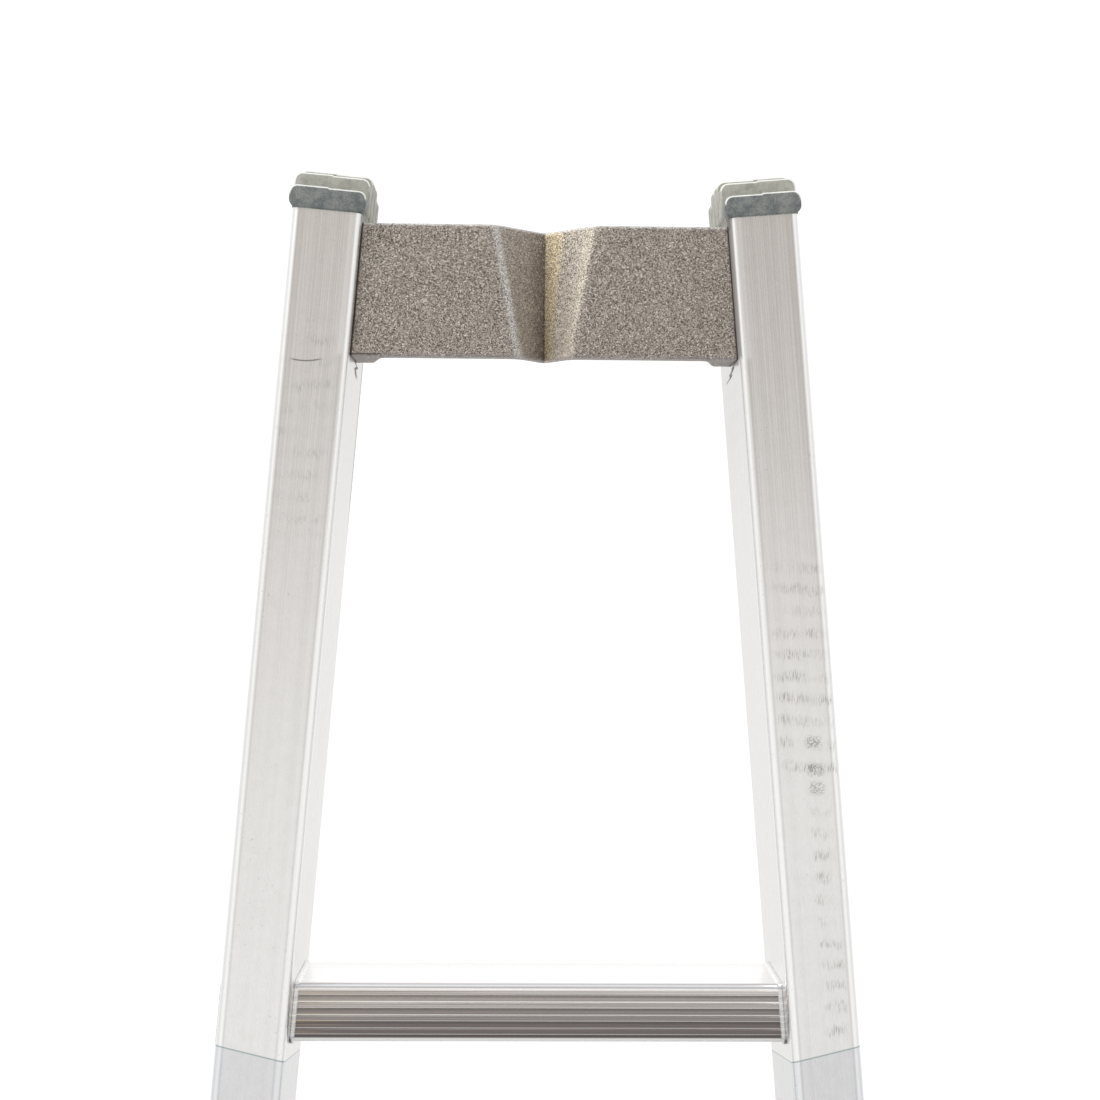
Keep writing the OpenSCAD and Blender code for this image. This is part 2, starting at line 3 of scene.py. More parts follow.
import bpy
import numpy as np
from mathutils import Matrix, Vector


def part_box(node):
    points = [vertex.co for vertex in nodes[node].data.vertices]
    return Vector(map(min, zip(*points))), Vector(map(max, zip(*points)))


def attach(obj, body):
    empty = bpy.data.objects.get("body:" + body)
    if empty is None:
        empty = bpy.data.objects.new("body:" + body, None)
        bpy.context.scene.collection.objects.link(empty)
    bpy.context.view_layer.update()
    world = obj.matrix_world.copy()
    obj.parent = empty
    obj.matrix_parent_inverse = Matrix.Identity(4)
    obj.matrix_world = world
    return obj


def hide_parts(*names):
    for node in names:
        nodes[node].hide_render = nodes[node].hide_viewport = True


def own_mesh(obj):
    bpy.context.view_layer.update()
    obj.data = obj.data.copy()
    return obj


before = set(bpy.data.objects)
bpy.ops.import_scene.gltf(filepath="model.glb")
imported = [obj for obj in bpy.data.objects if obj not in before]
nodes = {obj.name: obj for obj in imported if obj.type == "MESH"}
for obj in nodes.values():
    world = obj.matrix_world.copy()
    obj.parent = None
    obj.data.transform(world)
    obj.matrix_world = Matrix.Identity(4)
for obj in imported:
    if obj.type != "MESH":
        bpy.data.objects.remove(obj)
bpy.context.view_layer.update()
sides = {"left": -1.0, "right": 1.0}
print("frame loaded:", len(nodes), "nodes")

# lengths in metres that several pieces share
ladder = {
    "halfWidth": 0.175,  # outer plane of the straight stiles
    "topHalf": 0.097,  # the same at the top of the taper
    "stileWidth": 0.027,
    "stileDepth": 0.058,
    "flyFront": 0.0015,  # front of the fly stiles; the base stiles end as far behind
    "bendHeight": 2.176,  # where the fly stiles bend inwards
    "rungPitch": 0.28,
    "baseRungs": 7,
    "flyRungs": 10,
}
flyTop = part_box("fly_stile_left")[1][2]
flyMiddle = ladder["flyFront"] + ladder["stileDepth"] / 2
baseMiddle = -flyMiddle
restLow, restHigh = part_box("top_bracket")
restFront, restBottom, restTop = restLow[1], restLow[2], restHigh[2]
taperTan = (ladder["halfWidth"] - ladder["topHalf"]) / (flyTop - ladder["bendHeight"])
taperCos = 1 / math.sqrt(1 + taperTan * taperTan)


def outerPlane(z):
    # outer face of a stile at height z: straight up to the bend, then inwards at the taper's slope
    return ladder["halfWidth"] - np.maximum(z - ladder["bendHeight"], 0) * taperTan


def innerPlane(z):
    # the outer face less the stile's width, measured level
    lean = np.where(z > ladder["bendHeight"], taperCos, 1.0)
    return outerPlane(z) - ladder["stileWidth"] / lean


class Wire:
    # a shader value; sums, differences, products and quotients of wires add Math nodes
    def __init__(self, graph, socket):
        self.graph, self.socket = graph, socket

    def __add__(self, other):
        return self.graph.maths("ADD", self, other)

    def __sub__(self, other):
        return self.graph.maths("SUBTRACT", self, other)

    def __rsub__(self, other):
        return self.graph.maths("SUBTRACT", other, self)

    def __mul__(self, other):
        return self.graph.maths("MULTIPLY", self, other)

    def __truediv__(self, other):
        return self.graph.maths("DIVIDE", self, other)

    def __rtruediv__(self, other):
        return self.graph.maths("DIVIDE", other, self)

    def __neg__(self):
        return self * -1.0

    __radd__ = __add__
    __rmul__ = __mul__

    def size(self):
        return self.graph.maths("ABSOLUTE", self)

    def fraction(self):
        return self.graph.maths("FRACT", self)

    def root(self):
        return self.graph.maths("SQRT", self)

    def atLeast(self, least):
        return self.graph.maths("MAXIMUM", self, least)

    def over(self, low, high):
        # 0 below low, 1 above high, smooth between; low may be the larger
        settings = {"interpolation_type": "SMOOTHSTEP", "clamp": True}
        return self.graph.node("ShaderNodeMapRange", settings, {"Value": self, 1: low, 2: high})

    def near(self, place, outer, inner):
        # 1 within the inner distance of a place, 0 beyond the outer one
        return (self - place).size().over(outer, inner)


class Graph:
    # a node tree, and the kinds of node that the finishes are built from
    def __init__(self, tree):
        self.tree = tree

    def node(self, kind, settings, inputs, output=0):
        made = self.tree.nodes.new(kind)
        for key, value in settings.items():
            setattr(made, key, value)
        for key, value in inputs.items():
            socket = made.inputs[key]
            if isinstance(value, Wire):
                self.tree.links.new(value.socket, socket)
            elif socket.type == "RGBA":
                socket.default_value = (*value, 1.0)
            else:
                socket.default_value = value
        return Wire(self, made.outputs[output])

    def maths(self, operation, *values):
        return self.node("ShaderNodeMath", {"operation": operation}, dict(enumerate(values)))

    def mix(self, factor, first, second, blend="MIX"):
        settings = {"data_type": "RGBA", "blend_type": blend}
        return self.node("ShaderNodeMix", settings, {0: factor, 6: first, 7: second}, 2)

    def lay(self, colour, share):
        # lays a colour over the tone so far, in this share
        self.tone = self.mix(share, self.tone, colour)

    def part(self, vector, index):
        return self.node("ShaderNodeSeparateXYZ", {}, {0: vector}, index)

    def coordinates(self, kind):
        place = self.node("ShaderNodeTexCoord", {}, {}, kind)
        return place, [self.part(place, axis) for axis in range(3)]


class Finish(Graph):
    # one procedural material with its Principled shader
    def __init__(self, name, **shader):
        self.material = bpy.data.materials.new(name)
        self.material.use_nodes = True
        super().__init__(self.material.node_tree)
        self.tree.nodes.clear()
        self.shader = self.tree.nodes.new("ShaderNodeBsdfPrincipled")
        output = self.tree.nodes.new("ShaderNodeOutputMaterial")
        self.tree.links.new(self.shader.outputs[0], output.inputs[0])
        for socket, value in shader.items():
            self.shader.inputs[socket].default_value = value
        self.place, (self.x, self.y, self.z) = self.coordinates("Object")

    def noise(self, scale, detail=2.0, rough=0.5, place=None):
        inputs = {"Scale": scale, "Detail": detail, "Roughness": rough, "Vector": place or self.place}
        return self.node("ShaderNodeTexNoise", {}, inputs)

    def drawn(self, scales, detail=2.0, rough=0.5, across=None):
        # noise with a scale of its own along each axis; another value may stand in for x
        x, y, z = scales
        place = {0: (across or self.x) * x, 1: self.y * y, 2: self.z * z}
        return self.noise(1.0, detail, rough, self.node("ShaderNodeCombineXYZ", {}, place))

    def grains(self, scale):
        # a random value for each of many small cells
        inputs = {"Scale": scale, "Vector": self.place}
        return self.part(self.node("ShaderNodeTexVoronoi", {}, inputs, "Color"), 0)

    def own(self, name):
        # a value that a piece's points carry under this name
        return self.node("ShaderNodeAttribute", {"attribute_name": name}, {}, "Fac")

    def inward(self):
        # distance in from the stile's outer face, the same all the way up the straight part and the taper
        lean = (self.z - ladder["bendHeight"]).atLeast(0.0) * taperTan
        return ladder["halfWidth"] - self.x.size() - lean

    def dress(self, rough, height, relief):
        # relief is how high, in metres, a height of 1 stands
        bump = self.node("ShaderNodeBump", {}, {"Height": height, "Distance": relief, "Strength": 1.0})
        for socket, wire in {"Base Color": self.tone, "Roughness": rough, "Normal": bump}.items():
            self.feed(socket, wire)
        return self

    def feed(self, socket, wire):
        self.tree.links.new(wire.socket, self.shader.inputs[socket])


def placed(name, data):
    made = bpy.data.objects.new(name, data)
    bpy.context.scene.collection.objects.link(made)
    return made


def paint(target, finish):
    target.data.materials.clear()
    target.data.materials.append(finish.material)


stileLook = {
    "light": (0.875, 0.865, 0.855),
    "dull": (0.79, 0.78, 0.765),
    # painted highlight for the rounded corners, and for the strip beside the pole rest
    "rim": (0.99, 0.99, 0.985),
    "scuff": (0.40, 0.385, 0.375),
    "streaks": (2400.0, 2400.0, 5.0),  # scales across, back and up: fine across, very long upwards
    "bands": (260.0, 260.0, 1.6),
    "clouds": 9.0,
    "haze": 310.0,
    "specks": 800.0,
    "corner": 0.0032,  # where the flat face ends, from each corner
    "seam": 0.0008,  # width of the darker line there, over which the painted highlight on the rounded corner begins
    "metal": (0.45, 0.30, 0.25),  # shares of streaks, bands and haze
    "cloudShare": 0.3,
    "seamShare": 0.2,  # at the front face's sides, and at the side faces' ends
    "sideSeamShare": 0.3,
    "rimShare": 0.8,
    "speckShare": 0.4,
    "roughness": 0.24,
    "relief": 0.00003,
}
# level rows of short upright rub marks
rubLook = {
    "pitch": 0.0085,
    "dashes": (2600.0, 2600.0, 260.0),
    "wander": (30.0, 30.0, 20.0),
    "ragged": (700.0, 700.0, 40.0),
    "patchy": (110.0, 60.0, 60.0),
    "thin": (12.0, 9.0, 5.0),
    "grit": 1500.0,
    # side, lowest and highest level, how dark, how far in, and half the width
    "stretches": (
        ("right", 2.893, 2.985, 1.0, 0.0120, 0.0125),
        ("right", 2.790, 2.893, 1.0, 0.0085, 0.0050),
        ("left", 2.985, 3.085, 0.75, 0.0125, 0.0125),
    ),
    "fadeIn": 0.002,  # over which a stretch begins, and ends
    "fadeOut": 0.020,
    "blotHeights": (2.9075, 2.8970, 2.8900),  # dark blots on the right fly stile
    "blotPlace": 0.0097,  # how far in they lie
    "blotHigh": 0.0036,  # half their height and half their width
    "blotWide": 0.0042,
    "thinShare": 0.35,  # how dark the rows are outside the stretches
    "rubShare": 0.58,
    "blotShare": 0.25,
    "spotShare": 0.9,
}
# film, scratch, stains, and painted shade and highlights at the top of the fly stiles
flyLook = {
    "filmTint": (0.85, 0.865, 0.895),
    "filmEdge": (0.24, 0.34, 0.35),
    "stainAndReflection": (0.13, 0.12, 0.11),
    "shade": (0.20, 0.18, 0.165),
    # painted shade on the inner faces of the fly stiles
    "inner": (0.62, 0.605, 0.59),
    "filmTop": 2.7910,  # height of the film's edge at the outer front corner
    "filmFallIn": 0.240,  # how it falls towards the ladder's middle
    "filmFallBack": 0.215,  # and towards the rear
    "scratchPlace": 0.0108,  # its middle, from the outer face
    "scratchHeight": 3.0519,
    "scratchHalf": 0.0068,  # half its length
    "scratchBend": 22.0,
    "scratchLine": 0.0004,  # half its width
    "dripLength": 0.0062,  # how far a stain runs down below the pole rest
    "dripPlace": 0.0225,  # where it starts, from the front, and how much farther forward on the right
    "dripForward": 0.0145,
    "dripRun": 0.6,  # how far back it runs as it falls, and how much farther on the right
    "dripRunRight": 3.7,
    "dripWander": (30.0, 0.0, 520.0),
    "dripLine": 0.0050,
    "darkening": 0.085,  # how far down the painted shade by the pole rest reaches on the inner face
    "rimPlace": 0.0034,  # the painted highlight strip beside the pole rest, from the inner face
    "shadeWidth": 0.0016,  # the shade beside its right end
    "restHeight": 0.050,
    "rearLine": 0.0030,  # the painted dark line's distance from the left stile's rear, and how far down it goes
    "rearReach": 0.075,
    "filmShare": 0.85,
    "filmEdgeShare": 0.7,
    "scratchShare": 0.75,
    "dripShare": 0.95,
    "innerShare": 0.12,  # painted shade all over the inner face, and how much more beside the pole rest
    "darkenedShare": 0.28,
    "brightShare": 0.8,
    "shadeAndGrime": (0.85, 0.75, 0.6, 0.8),  # painted shade beside and above the pole rest and on the rear line, and the stains
    "shadeAndGrimeRoughness": 0.4,
}


def rubMarks(f, inward, onFly):
    # dashes times rows times patches, thick in some stretches of the fly stiles and thin elsewhere
    # gives the rubbed share, the darker blots among the dashes, and the three gritty spots
    look = rubLook
    dashes = f.drawn(look["dashes"], 2.0, 0.65)
    wander, ragged = f.drawn(look["wander"], 1.0) * 0.6, f.drawn(look["ragged"], 1.0) * 0.45
    rows = (f.z / look["pitch"] + wander + ragged).fraction().near(0.5, 0.36, 0.04)
    patchy = f.drawn(look["patchy"])
    where = f.drawn(look["thin"], 1.0).over(0.55, 0.75) * look["thinShare"]
    spots = None
    if onFly:
        fade = look["fadeIn"]
        for sideName, low, high, dark, place, half in look["stretches"]:
            stretch = f.z.over(low - fade, low + fade) * f.z.over(high + fade, high - look["fadeOut"])
            onSide = (f.x * sides[sideName]).over(0.0, 0.001)
            where = where + stretch * onSide * inward.near(place, half, half * 0.7) * dark
        across = inward.near(look["blotPlace"], look["blotWide"], 0.0012) * f.x.over(0.0, 0.001)
        levels = sum(f.z.near(height, look["blotHigh"], 0.0008) for height in look["blotHeights"])
        spots = across * levels * f.noise(look["grit"], 3.0, 0.7).over(0.44, 0.56)
    rub = dashes.over(0.44, 0.62) * rows * patchy.over(0.34, 0.60) * where
    blots = dashes.over(0.46, 0.60) * rows * patchy.over(0.54, 0.66) * where.over(0.45, 0.6)
    return rub, blots, spots


def flyMarks(f, inward):
    # what only the fly stiles carry: film, scratch, stains, and painted shade and a painted highlight by the
    # pole rest; gives where the painted shade and stains lie
    look = flyLook
    width, low = ladder["stileWidth"], restBottom
    onLeft, onRight = f.x.over(0.0, -0.001), f.x.over(-0.001, 0.001)
    back = f.y - ladder["flyFront"]
    edge = look["filmTop"] - inward * look["filmFallIn"] - back * look["filmFallBack"]
    below = (edge - f.z).over(-0.0001, 0.0001)
    border = (edge - f.z).size().over(0.0004, 0.00015)
    f.lay(f.mix(1.0, f.tone, look["filmTint"], "MULTIPLY"), below * look["filmShare"])
    f.lay(look["filmEdge"], border * look["filmEdgeShare"])
    # the scratch is a parabola on the left front face
    off = inward - look["scratchPlace"]
    half, line = look["scratchHalf"], look["scratchLine"]
    scratch = (f.z - look["scratchHeight"] - off * off * look["scratchBend"]).size().over(line, line * 0.3)
    scratch = scratch * off.size().over(half, half * 0.6) * onLeft * f.y.over(0.003, 0.002)
    # a stain runs down and back below each end of the pole rest
    wavy = (f.drawn(look["dripWander"]) - 0.3) * 0.026
    start = f.y - look["dripPlace"] + onRight * look["dripForward"]
    fall = start - (low - f.z) * (onRight * look["dripRunRight"] + look["dripRun"]) - wavy
    drip = fall.size().over(look["dripLine"], 0.0022)
    drip = drip * f.z.over(low - look["dripLength"], low - look["dripLength"] + 0.0015)
    drip = drip * f.z.over(low + 0.001, low) * inward.over(width - 0.002, width)
    f.lay(look["stainAndReflection"], scratch * look["scratchShare"] + drip * look["dripShare"])
    # painted shade over the inner face and its front corner, deeper beside the pole rest as a painted
    # reflection of it
    onInner = inward.over(width - 0.0006, width - 0.0001)
    darkened = f.z.over(low - look["darkening"], low) * look["darkenedShare"] + look["innerShare"]
    f.lay(look["inner"], onInner * darkened)
    # a painted highlight on the rounded corner beside the pole rest
    level = f.z.over(low - 0.0015, low + 0.0015)
    bright = inward.near(width - look["rimPlace"], 0.0018, 0.0008) * level
    f.lay(stileLook["rim"], bright * f.y.over(0.004, 0.002) * look["brightShare"])
    # painted shade beside the right end of the pole rest
    beside = inward.over(width - look["shadeWidth"], width - look["shadeWidth"] / 2)
    beside = beside * level * f.y.over(0.0085, 0.0065) * onRight
    # painted shade on the inner face above the pole rest
    top = low + look["restHeight"]
    above = onInner * f.z.over(top - 0.001, top + 0.001)
    # a painted dark line along the left inner face's rear edge, as the dark reflection in its rounded corner
    rear = back.near(ladder["stileDepth"] - look["rearLine"], 0.0034, 0.0014)
    rear = rear * onInner * f.z.over(low - look["rearReach"], low - look["rearReach"] + 0.03) * onLeft
    shadedAndGrimy = sum(place * share for place, share in zip((beside, above, rear, drip), look["shadeAndGrime"]))
    f.lay(look["shade"], shadedAndGrimy)
    f.feed("Metallic", 1.0 - shadedAndGrimy * 0.9)
    return shadedAndGrimy


def stileFinish(name, onFly):
    look = stileLook
    f = Finish(name, Metallic=1.0)
    inward = f.inward()
    streaks = f.drawn(look["streaks"], 3.0, across=inward)
    bands = f.drawn(look["bands"], across=inward)
    clouds, haze = f.noise(look["clouds"], 4.0, 0.6), f.noise(look["haze"], 3.0, 0.6)
    fine, broad, soft = look["metal"]
    metal = (streaks * fine + bands * broad + haze * soft).over(0.30, 0.66)
    f.tone = f.mix(metal, look["dull"], look["light"])
    f.lay(look["dull"], clouds.over(0.50, 0.76) * look["cloudShare"])
    # a thin darker line where the flat faces meet the rounded corners
    fromSide = (inward - ladder["stileWidth"] / 2).size()
    fromMiddle = (f.y.size() - flyMiddle).size()
    flatSide = ladder["stileWidth"] / 2 - look["corner"]
    flatFront = ladder["stileDepth"] / 2 - look["corner"]
    seam, sideSeam = fromSide.near(flatSide, look["seam"], 0.0001), fromMiddle.near(flatFront, 0.0007, 0.0001)
    f.lay(look["scuff"], seam * look["seamShare"] + sideSeam * look["sideSeamShare"])
    # and a painted highlight round the rounded corners themselves
    roundSide = fromSide.over(flatSide, flatSide + look["seam"])
    roundFront = fromMiddle.over(flatFront, flatFront + look["seam"])
    f.lay(look["rim"], roundSide * roundFront * look["rimShare"])
    rub, blots, spots = rubMarks(f, inward, onFly)
    specks = f.noise(look["specks"], 2.0, 0.7).over(0.66, 0.71) * clouds.over(0.46, 0.58)
    marks = rub * rubLook["rubShare"] + blots * rubLook["blotShare"] + specks * look["speckShare"]
    if onFly:
        marks = marks + spots * rubLook["spotShare"]
    f.lay(look["scuff"], marks)
    rough = streaks.over(0.3, 0.7) * 0.08 + rub * 0.15 + look["roughness"]
    if onFly:
        rough = rough + flyMarks(f, inward) * flyLook["shadeAndGrimeRoughness"]
    return f.dress(rough, streaks * 0.6 + bands * 0.4, look["relief"])


castShape = {
    "thickness": 0.008,
    "notchTop": 0.039,
    "notchBottom": 0.020,
    "notchDepth": 0.0165,
    "notchWall": 0.006,
    "lugRoot": 0.0115,
    "lugWidth": 0.007,
    "lugDepth": 0.026,
    "play": 0.00015,
    "edge": 0.0009,  # rounding of the top and bottom edges
    "levels": 40,  # rings between them, the first and last this far in
    "firstLevel": 0.002,
    "frontCuts": (0.0, 0.0, 0.0, 0.0030, 0.0005, 0.0030, 0.0, 0.0, 0.0),  # rounding of each corner
    "rearCuts": (0.0014, 0.0016, 0.003, 0.004, 0.005, 0.004, 0.003, 0.0016, 0.0014),
    "runs": (2, 6, 26, 12, 12, 26, 6, 2),  # points between the corners
    "wander": 0.00010,  # unevenness of the cast faces, its length, and the seed of its waves
    "wanderLength": 0.006,
    "wanderSeed": 11,
}
castLook = {
    "pale": (0.51, 0.45, 0.395),
    "dark": (0.100, 0.086, 0.074),
    "facet": (0.86, 0.775, 0.67),
    "low": (0.19, 0.165, 0.14),
    "rust": (0.30, 0.22, 0.13),
    "white": (0.88, 0.87, 0.86),
    "glint": (0.90, 0.87, 0.81),
    "cream": (0.92, 0.84, 0.70),
    "shadow": (0.060, 0.050, 0.043),
    "under": (0.40, 0.36, 0.37),
    "gold": (1.0, 0.86, 0.58),
    "grain": 2100.0,
    "sand": 3300.0,
    "glints": 2500.0,
    "patches": 70.0,
    "warmTop": 0.0034,  # how much wider the painted warm reflection beside the crease is at the top than at the bottom
    "warmBottom": 0.0022,
    "shoulder": 0.0026,  # width of the bright left shoulder, and of the right one with its place
    "rightShoulder": 0.0036,
    "rightPlace": -0.0020,
    "topEdge": 0.0014,  # painted highlight at the top edge, grey at the bottom one
    "bottomEdge": 0.0016,
    "leftShade": 0.0075,  # width of the painted shade left of the crease, and of the painted shade in the joint beside the stile
    "joint": 0.0009,
    "lugLine": 0.0007,  # height of the painted shade line over the left lug, and its length
    "lugReach": 0.0125,
    "facetShare": 0.85,
    "warmShare": 0.85,
    "fleckShare": 0.6,
    "leftShadeShare": 0.40,
    "creaseShare": 0.55,
    "edgeShare": 0.7,
    "underShare": 0.45,
    "glintShare": 0.62,
    "jointShare": 0.92,
    "lugShare": 0.75,
    "roughness": 0.56,
    "relief": 0.00045,
}


def castFinish():
    look = castLook
    f = Finish("sandCastAluminium", Metallic=0.6)
    grain, fine = f.noise(look["grain"], 1.5, 0.6), f.grains(look["sand"])
    sand = (grain * 0.3 + fine * 0.7).over(0.24, 0.76)
    patches = f.noise(look["patches"], 3.0)
    f.tone = f.mix(sand, look["dark"], look["pale"])
    f.lay(look["dark"], patches.over(0.35, 0.7) * 0.06)
    # how far a point lies outside the notch's shoulder, level with it
    bottomHalf, topHalf = castShape["notchBottom"] / 2, castShape["notchTop"] / 2
    share = (f.z - restBottom) / (restTop - restBottom)
    outside = f.x.size() - share * (topHalf - bottomHalf) - bottomHalf
    left, right = f.x.over(0.0001, -0.0001), f.x.over(-0.0001, 0.0001)
    # the front runs back into the notch in proportion to how far inside its shoulder a point lies
    inside = -outside
    into = inside.atLeast(0.0) / (inside + f.x.size()) * castShape["notchDepth"]
    front = (f.y - restFront - into).over(0.0035, 0.0020)
    within = outside.over(0.0004, -0.0010) * front
    onLeft, onRight = left * within, right * within
    # painted light: the right half of the notch is painted paler as the lit side, with a painted warm
    # reflection beside the crease; the left half is painted dark as shade
    f.lay(f.mix(sand, look["low"], look["facet"]), onRight * look["facetShare"])
    reach = share * look["warmTop"] + look["warmBottom"] + (patches - 0.5) * 0.006 + (fine - 0.5) * 0.002
    stainAndReflection = (reach - f.x).over(-0.0024, 0.0012) * onRight
    f.lay(f.mix(sand, look["rust"], look["gold"]), stainAndReflection * look["warmShare"])
    flecks = f.x.over(0.0036, 0.0006) * onRight * patches.over(0.35, 0.6) * fine.over(0.55, 0.4)
    f.lay(look["rust"], flecks * look["fleckShare"])
    f.lay(look["facet"], onLeft * 0.10)
    f.lay(look["shadow"], f.x.over(-look["leftShade"], -0.0002) * onLeft * look["leftShadeShare"])
    # painted shade in the crease
    f.lay(look["shadow"], f.x.size().over(0.0006, 0.0001) * within * look["creaseShare"])
    # bright strips along both shoulders, painted highlights on their rounded edges and rubbed metal, and a
    # painted highlight along the top edge
    brightLeft = outside.size().over(look["shoulder"], 0.0003) * left * front
    brightRight = outside.near(look["rightPlace"], look["rightShoulder"], 0.0004) * right * front
    f.lay(look["white"], brightLeft * (sand * 0.5 + 0.15))
    f.lay(look["cream"], brightRight * (sand * 0.45 + 0.1))
    topEdge = f.z.over(restTop - look["topEdge"], restTop - 0.0003) * grain.over(0.38, 0.5)
    f.lay(look["white"], topEdge * look["edgeShare"])
    lowEdge = f.z.over(restBottom + look["bottomEdge"], restBottom + 0.0002)
    f.lay(look["under"], lowEdge * look["underShare"])
    glint = f.grains(look["glints"]).over(0.90, 0.97)
    f.lay(look["glint"], glint * look["glintShare"])
    # painted shade in the joint beside each stile, and under the front edge at the left lug
    clear = f.inward() - ladder["stileWidth"]
    f.lay(look["shadow"], clear.over(look["joint"], 0.0004) * look["jointShare"])
    crease = (f.z - restBottom - look["lugLine"]).size().over(0.0005, 0.0001)
    crease = crease * clear.over(look["lugReach"], look["lugReach"] - 0.002) * f.x.over(0.0, -0.001)
    f.lay(look["shadow"], crease * look["lugShare"])
    return f.dress(look["roughness"] - glint * 0.26, grain * 0.7 + fine * 0.3, look["relief"])


rungLook = {
    "bright": (0.98, 0.98, 0.98),
    "blue": (0.80, 0.82, 0.86),
    "upper": (0.48, 0.44, 0.41),
    "lower": (0.165, 0.143, 0.140),
    # painted highlights on the ribs and their edges
    "line": (0.98, 0.96, 0.94),
    "gold": (0.62, 0.47, 0.26),
    "flange": (0.60, 0.595, 0.59),
    "shade": (0.060, 0.052, 0.050),
    "streaks": (6.0, 900.0, 4200.0),  # scales along the rung, back and up
    "longStreaks": (9.0, 200.0, 1500.0),
    "grain": 2100.0,
    "scratches": 700.0,
    "face": 0.0094,  # the dull part of a side reaches this far above and below the rung's middle
    "ribPitch": 0.0051,
    "firstGap": 0.01085,  # half a pitch above the first rib's middle
    "ribHalf": 0.00112,
    "edgeLine": 0.00046,  # half the width of a rib's painted highlights, and of the painted shadow under a rib
    "underLine": 0.0006,
    "underDrop": 0.00075,
    "turnLine": 0.01115,  # height of the thin grey line where the side turns into the tread
    "collar": 0.0021,  # reach of the pressed collar, inwards from the stile
    "goldFrom": -0.05,  # the golden tinge grows between these places
    "goldTo": -0.12,
    "streakShare": 0.42,
    "ribShare": 0.45,
    "underShare": 0.42,
    "goldShare": 0.5,
    "cornerShadeShare": 0.75,
    "roughness": 0.2,
    "relief": 0.00005,
}


def rungSides(f, level, streak, grain):
    # tones the ribbed side of a rung: painted darker than the tread and darker downwards as painted shade,
    # two painted bright edges and a painted shadow line to each rib
    look = rungLook
    half = look["ribHalf"]
    steps = (look["firstGap"] - level) / look["ribPitch"]
    fromRib = (0.5 - steps.fraction()) * look["ribPitch"]
    f.tone = f.mix(level.over(0.0085, -0.007), look["upper"], look["lower"])
    f.lay(look["lower"], (streak * 0.8 + grain * 0.2).over(0.62, 0.38) * look["streakShare"])
    # a painted highlight over each rib, stronger higher up
    onRib = fromRib.size().over(half + 0.0001, half - 0.0003)
    f.lay(look["line"], onRib * level.over(-0.009, 0.008) * streak.over(0.3, 0.7) * look["ribShare"])
    # painted highlights on a rib's edges, the upper one painted the brighter
    edge = fromRib.size().near(half, look["edgeLine"], 0.00010)
    strength = fromRib.over(-0.0002, 0.0002) * level.over(-0.0065, 0.0060) * 0.60 + 0.42
    edge = edge * strength * (streak.over(0.25, 0.6) * 0.35 + 0.75)
    highest = look["firstGap"] - look["ribPitch"] / 2 + half + 0.0001
    # a painted shadow under each rib
    under = (fromRib + half + look["underDrop"]).size().over(look["underLine"], 0.0002)
    f.lay(look["shade"], under * look["underShare"])
    f.lay(look["line"], edge)
    f.lay(look["line"], level.near(highest, 0.0007, 0.0002))
    golden = f.drawn(look["longStreaks"]).over(0.54, 0.66) * f.x.over(look["goldFrom"], look["goldTo"])
    f.lay(look["gold"], golden * look["goldShare"])


def rungFinish():
    look = rungLook
    f = Finish("extrudedAluminium", Metallic=1.0)
    # height from the middle of the nearest rung
    level = ((f.z / ladder["rungPitch"] + 0.5).fraction() - 0.5) * ladder["rungPitch"]
    streak, grain = f.drawn(look["streaks"], 3.0, 0.65), f.noise(look["grain"], 1.0)
    rungSides(f, level, streak, grain)
    dull = f.tone
    # painted light: the rounded upper edge painted bluish as a painted reflection and the tread painted
    # bright as the lit face; the lower lip greyer
    f.tone = f.mix(level.over(0.0093, 0.0096) * level.over(0.0113, 0.0111), look["bright"], look["blue"])
    f.lay(look["upper"], streak.over(0.35, 0.7) * 0.12)
    f.lay(look["upper"], level.near(look["turnLine"], 0.0004, 0.0001) * 0.5)
    f.lay(look["flange"], level.over(-0.0091, -0.0095) * level.over(-0.0117, -0.0113) * 0.5)
    clear = f.inward() - ladder["stileWidth"]
    pressed = clear.over(0.0, -0.0005)
    collar = clear.over(look["collar"], look["collar"] - 0.0004) * 0.65
    onSide = level.size().over(look["face"] + 0.0006, look["face"] - 0.0001)
    f.lay(dull, onSide * (1.0 - pressed) * (1.0 - collar))
    # the pressed flange is grey with pale scratches
    scratched = f.noise(look["scratches"], 3.0).over(0.35, 0.65)
    f.lay(f.mix(scratched, look["flange"], look["blue"]), pressed)
    # painted shade at the lower corner where the rung enters the stile
    shadeAndGrime = clear.over(0.0012, 0.0006) * clear.over(-0.0001, 0.0001) * level.over(-0.0092, -0.0104)
    f.lay(look["shade"], shadeAndGrime * look["cornerShadeShare"])
    return f.dress(streak * 0.14 + look["roughness"], streak * 0.7 + grain * 0.3, look["relief"])


metalLook = {
    "wornAndHighlight": (0.42, 0.41, 0.40),
    "wornShare": 0.25,
    "brushing": (1700.0, 1700.0, 24.0),
    "relief": 0.00005,
}


def plainMetal(name, light, dark, rough, scale, brushed=0.0):
    # light clouds over a dull ground with a fine tumbled grain; brushed adds upright streaks
    f = Finish(name, Metallic=1.0)
    clouds, grain = f.noise(scale, 4.0), f.noise(scale * 22, 2.0)
    streaks = f.drawn(metalLook["brushing"], 3.0, 0.6)
    f.tone = f.mix((clouds * (1.0 - brushed) + streaks * brushed).over(0.32, 0.68), dark, light)
    wornAndHighlight = f.noise(scale * 3, 3.0).over(0.60, 0.72)
    f.lay(metalLook["wornAndHighlight"], wornAndHighlight * metalLook["wornShare"])
    height = grain * (1.0 - brushed) + streaks * brushed
    return f.dress(grain * 0.2 + wornAndHighlight * 0.1 + (rough - 0.1), height, metalLook["relief"])


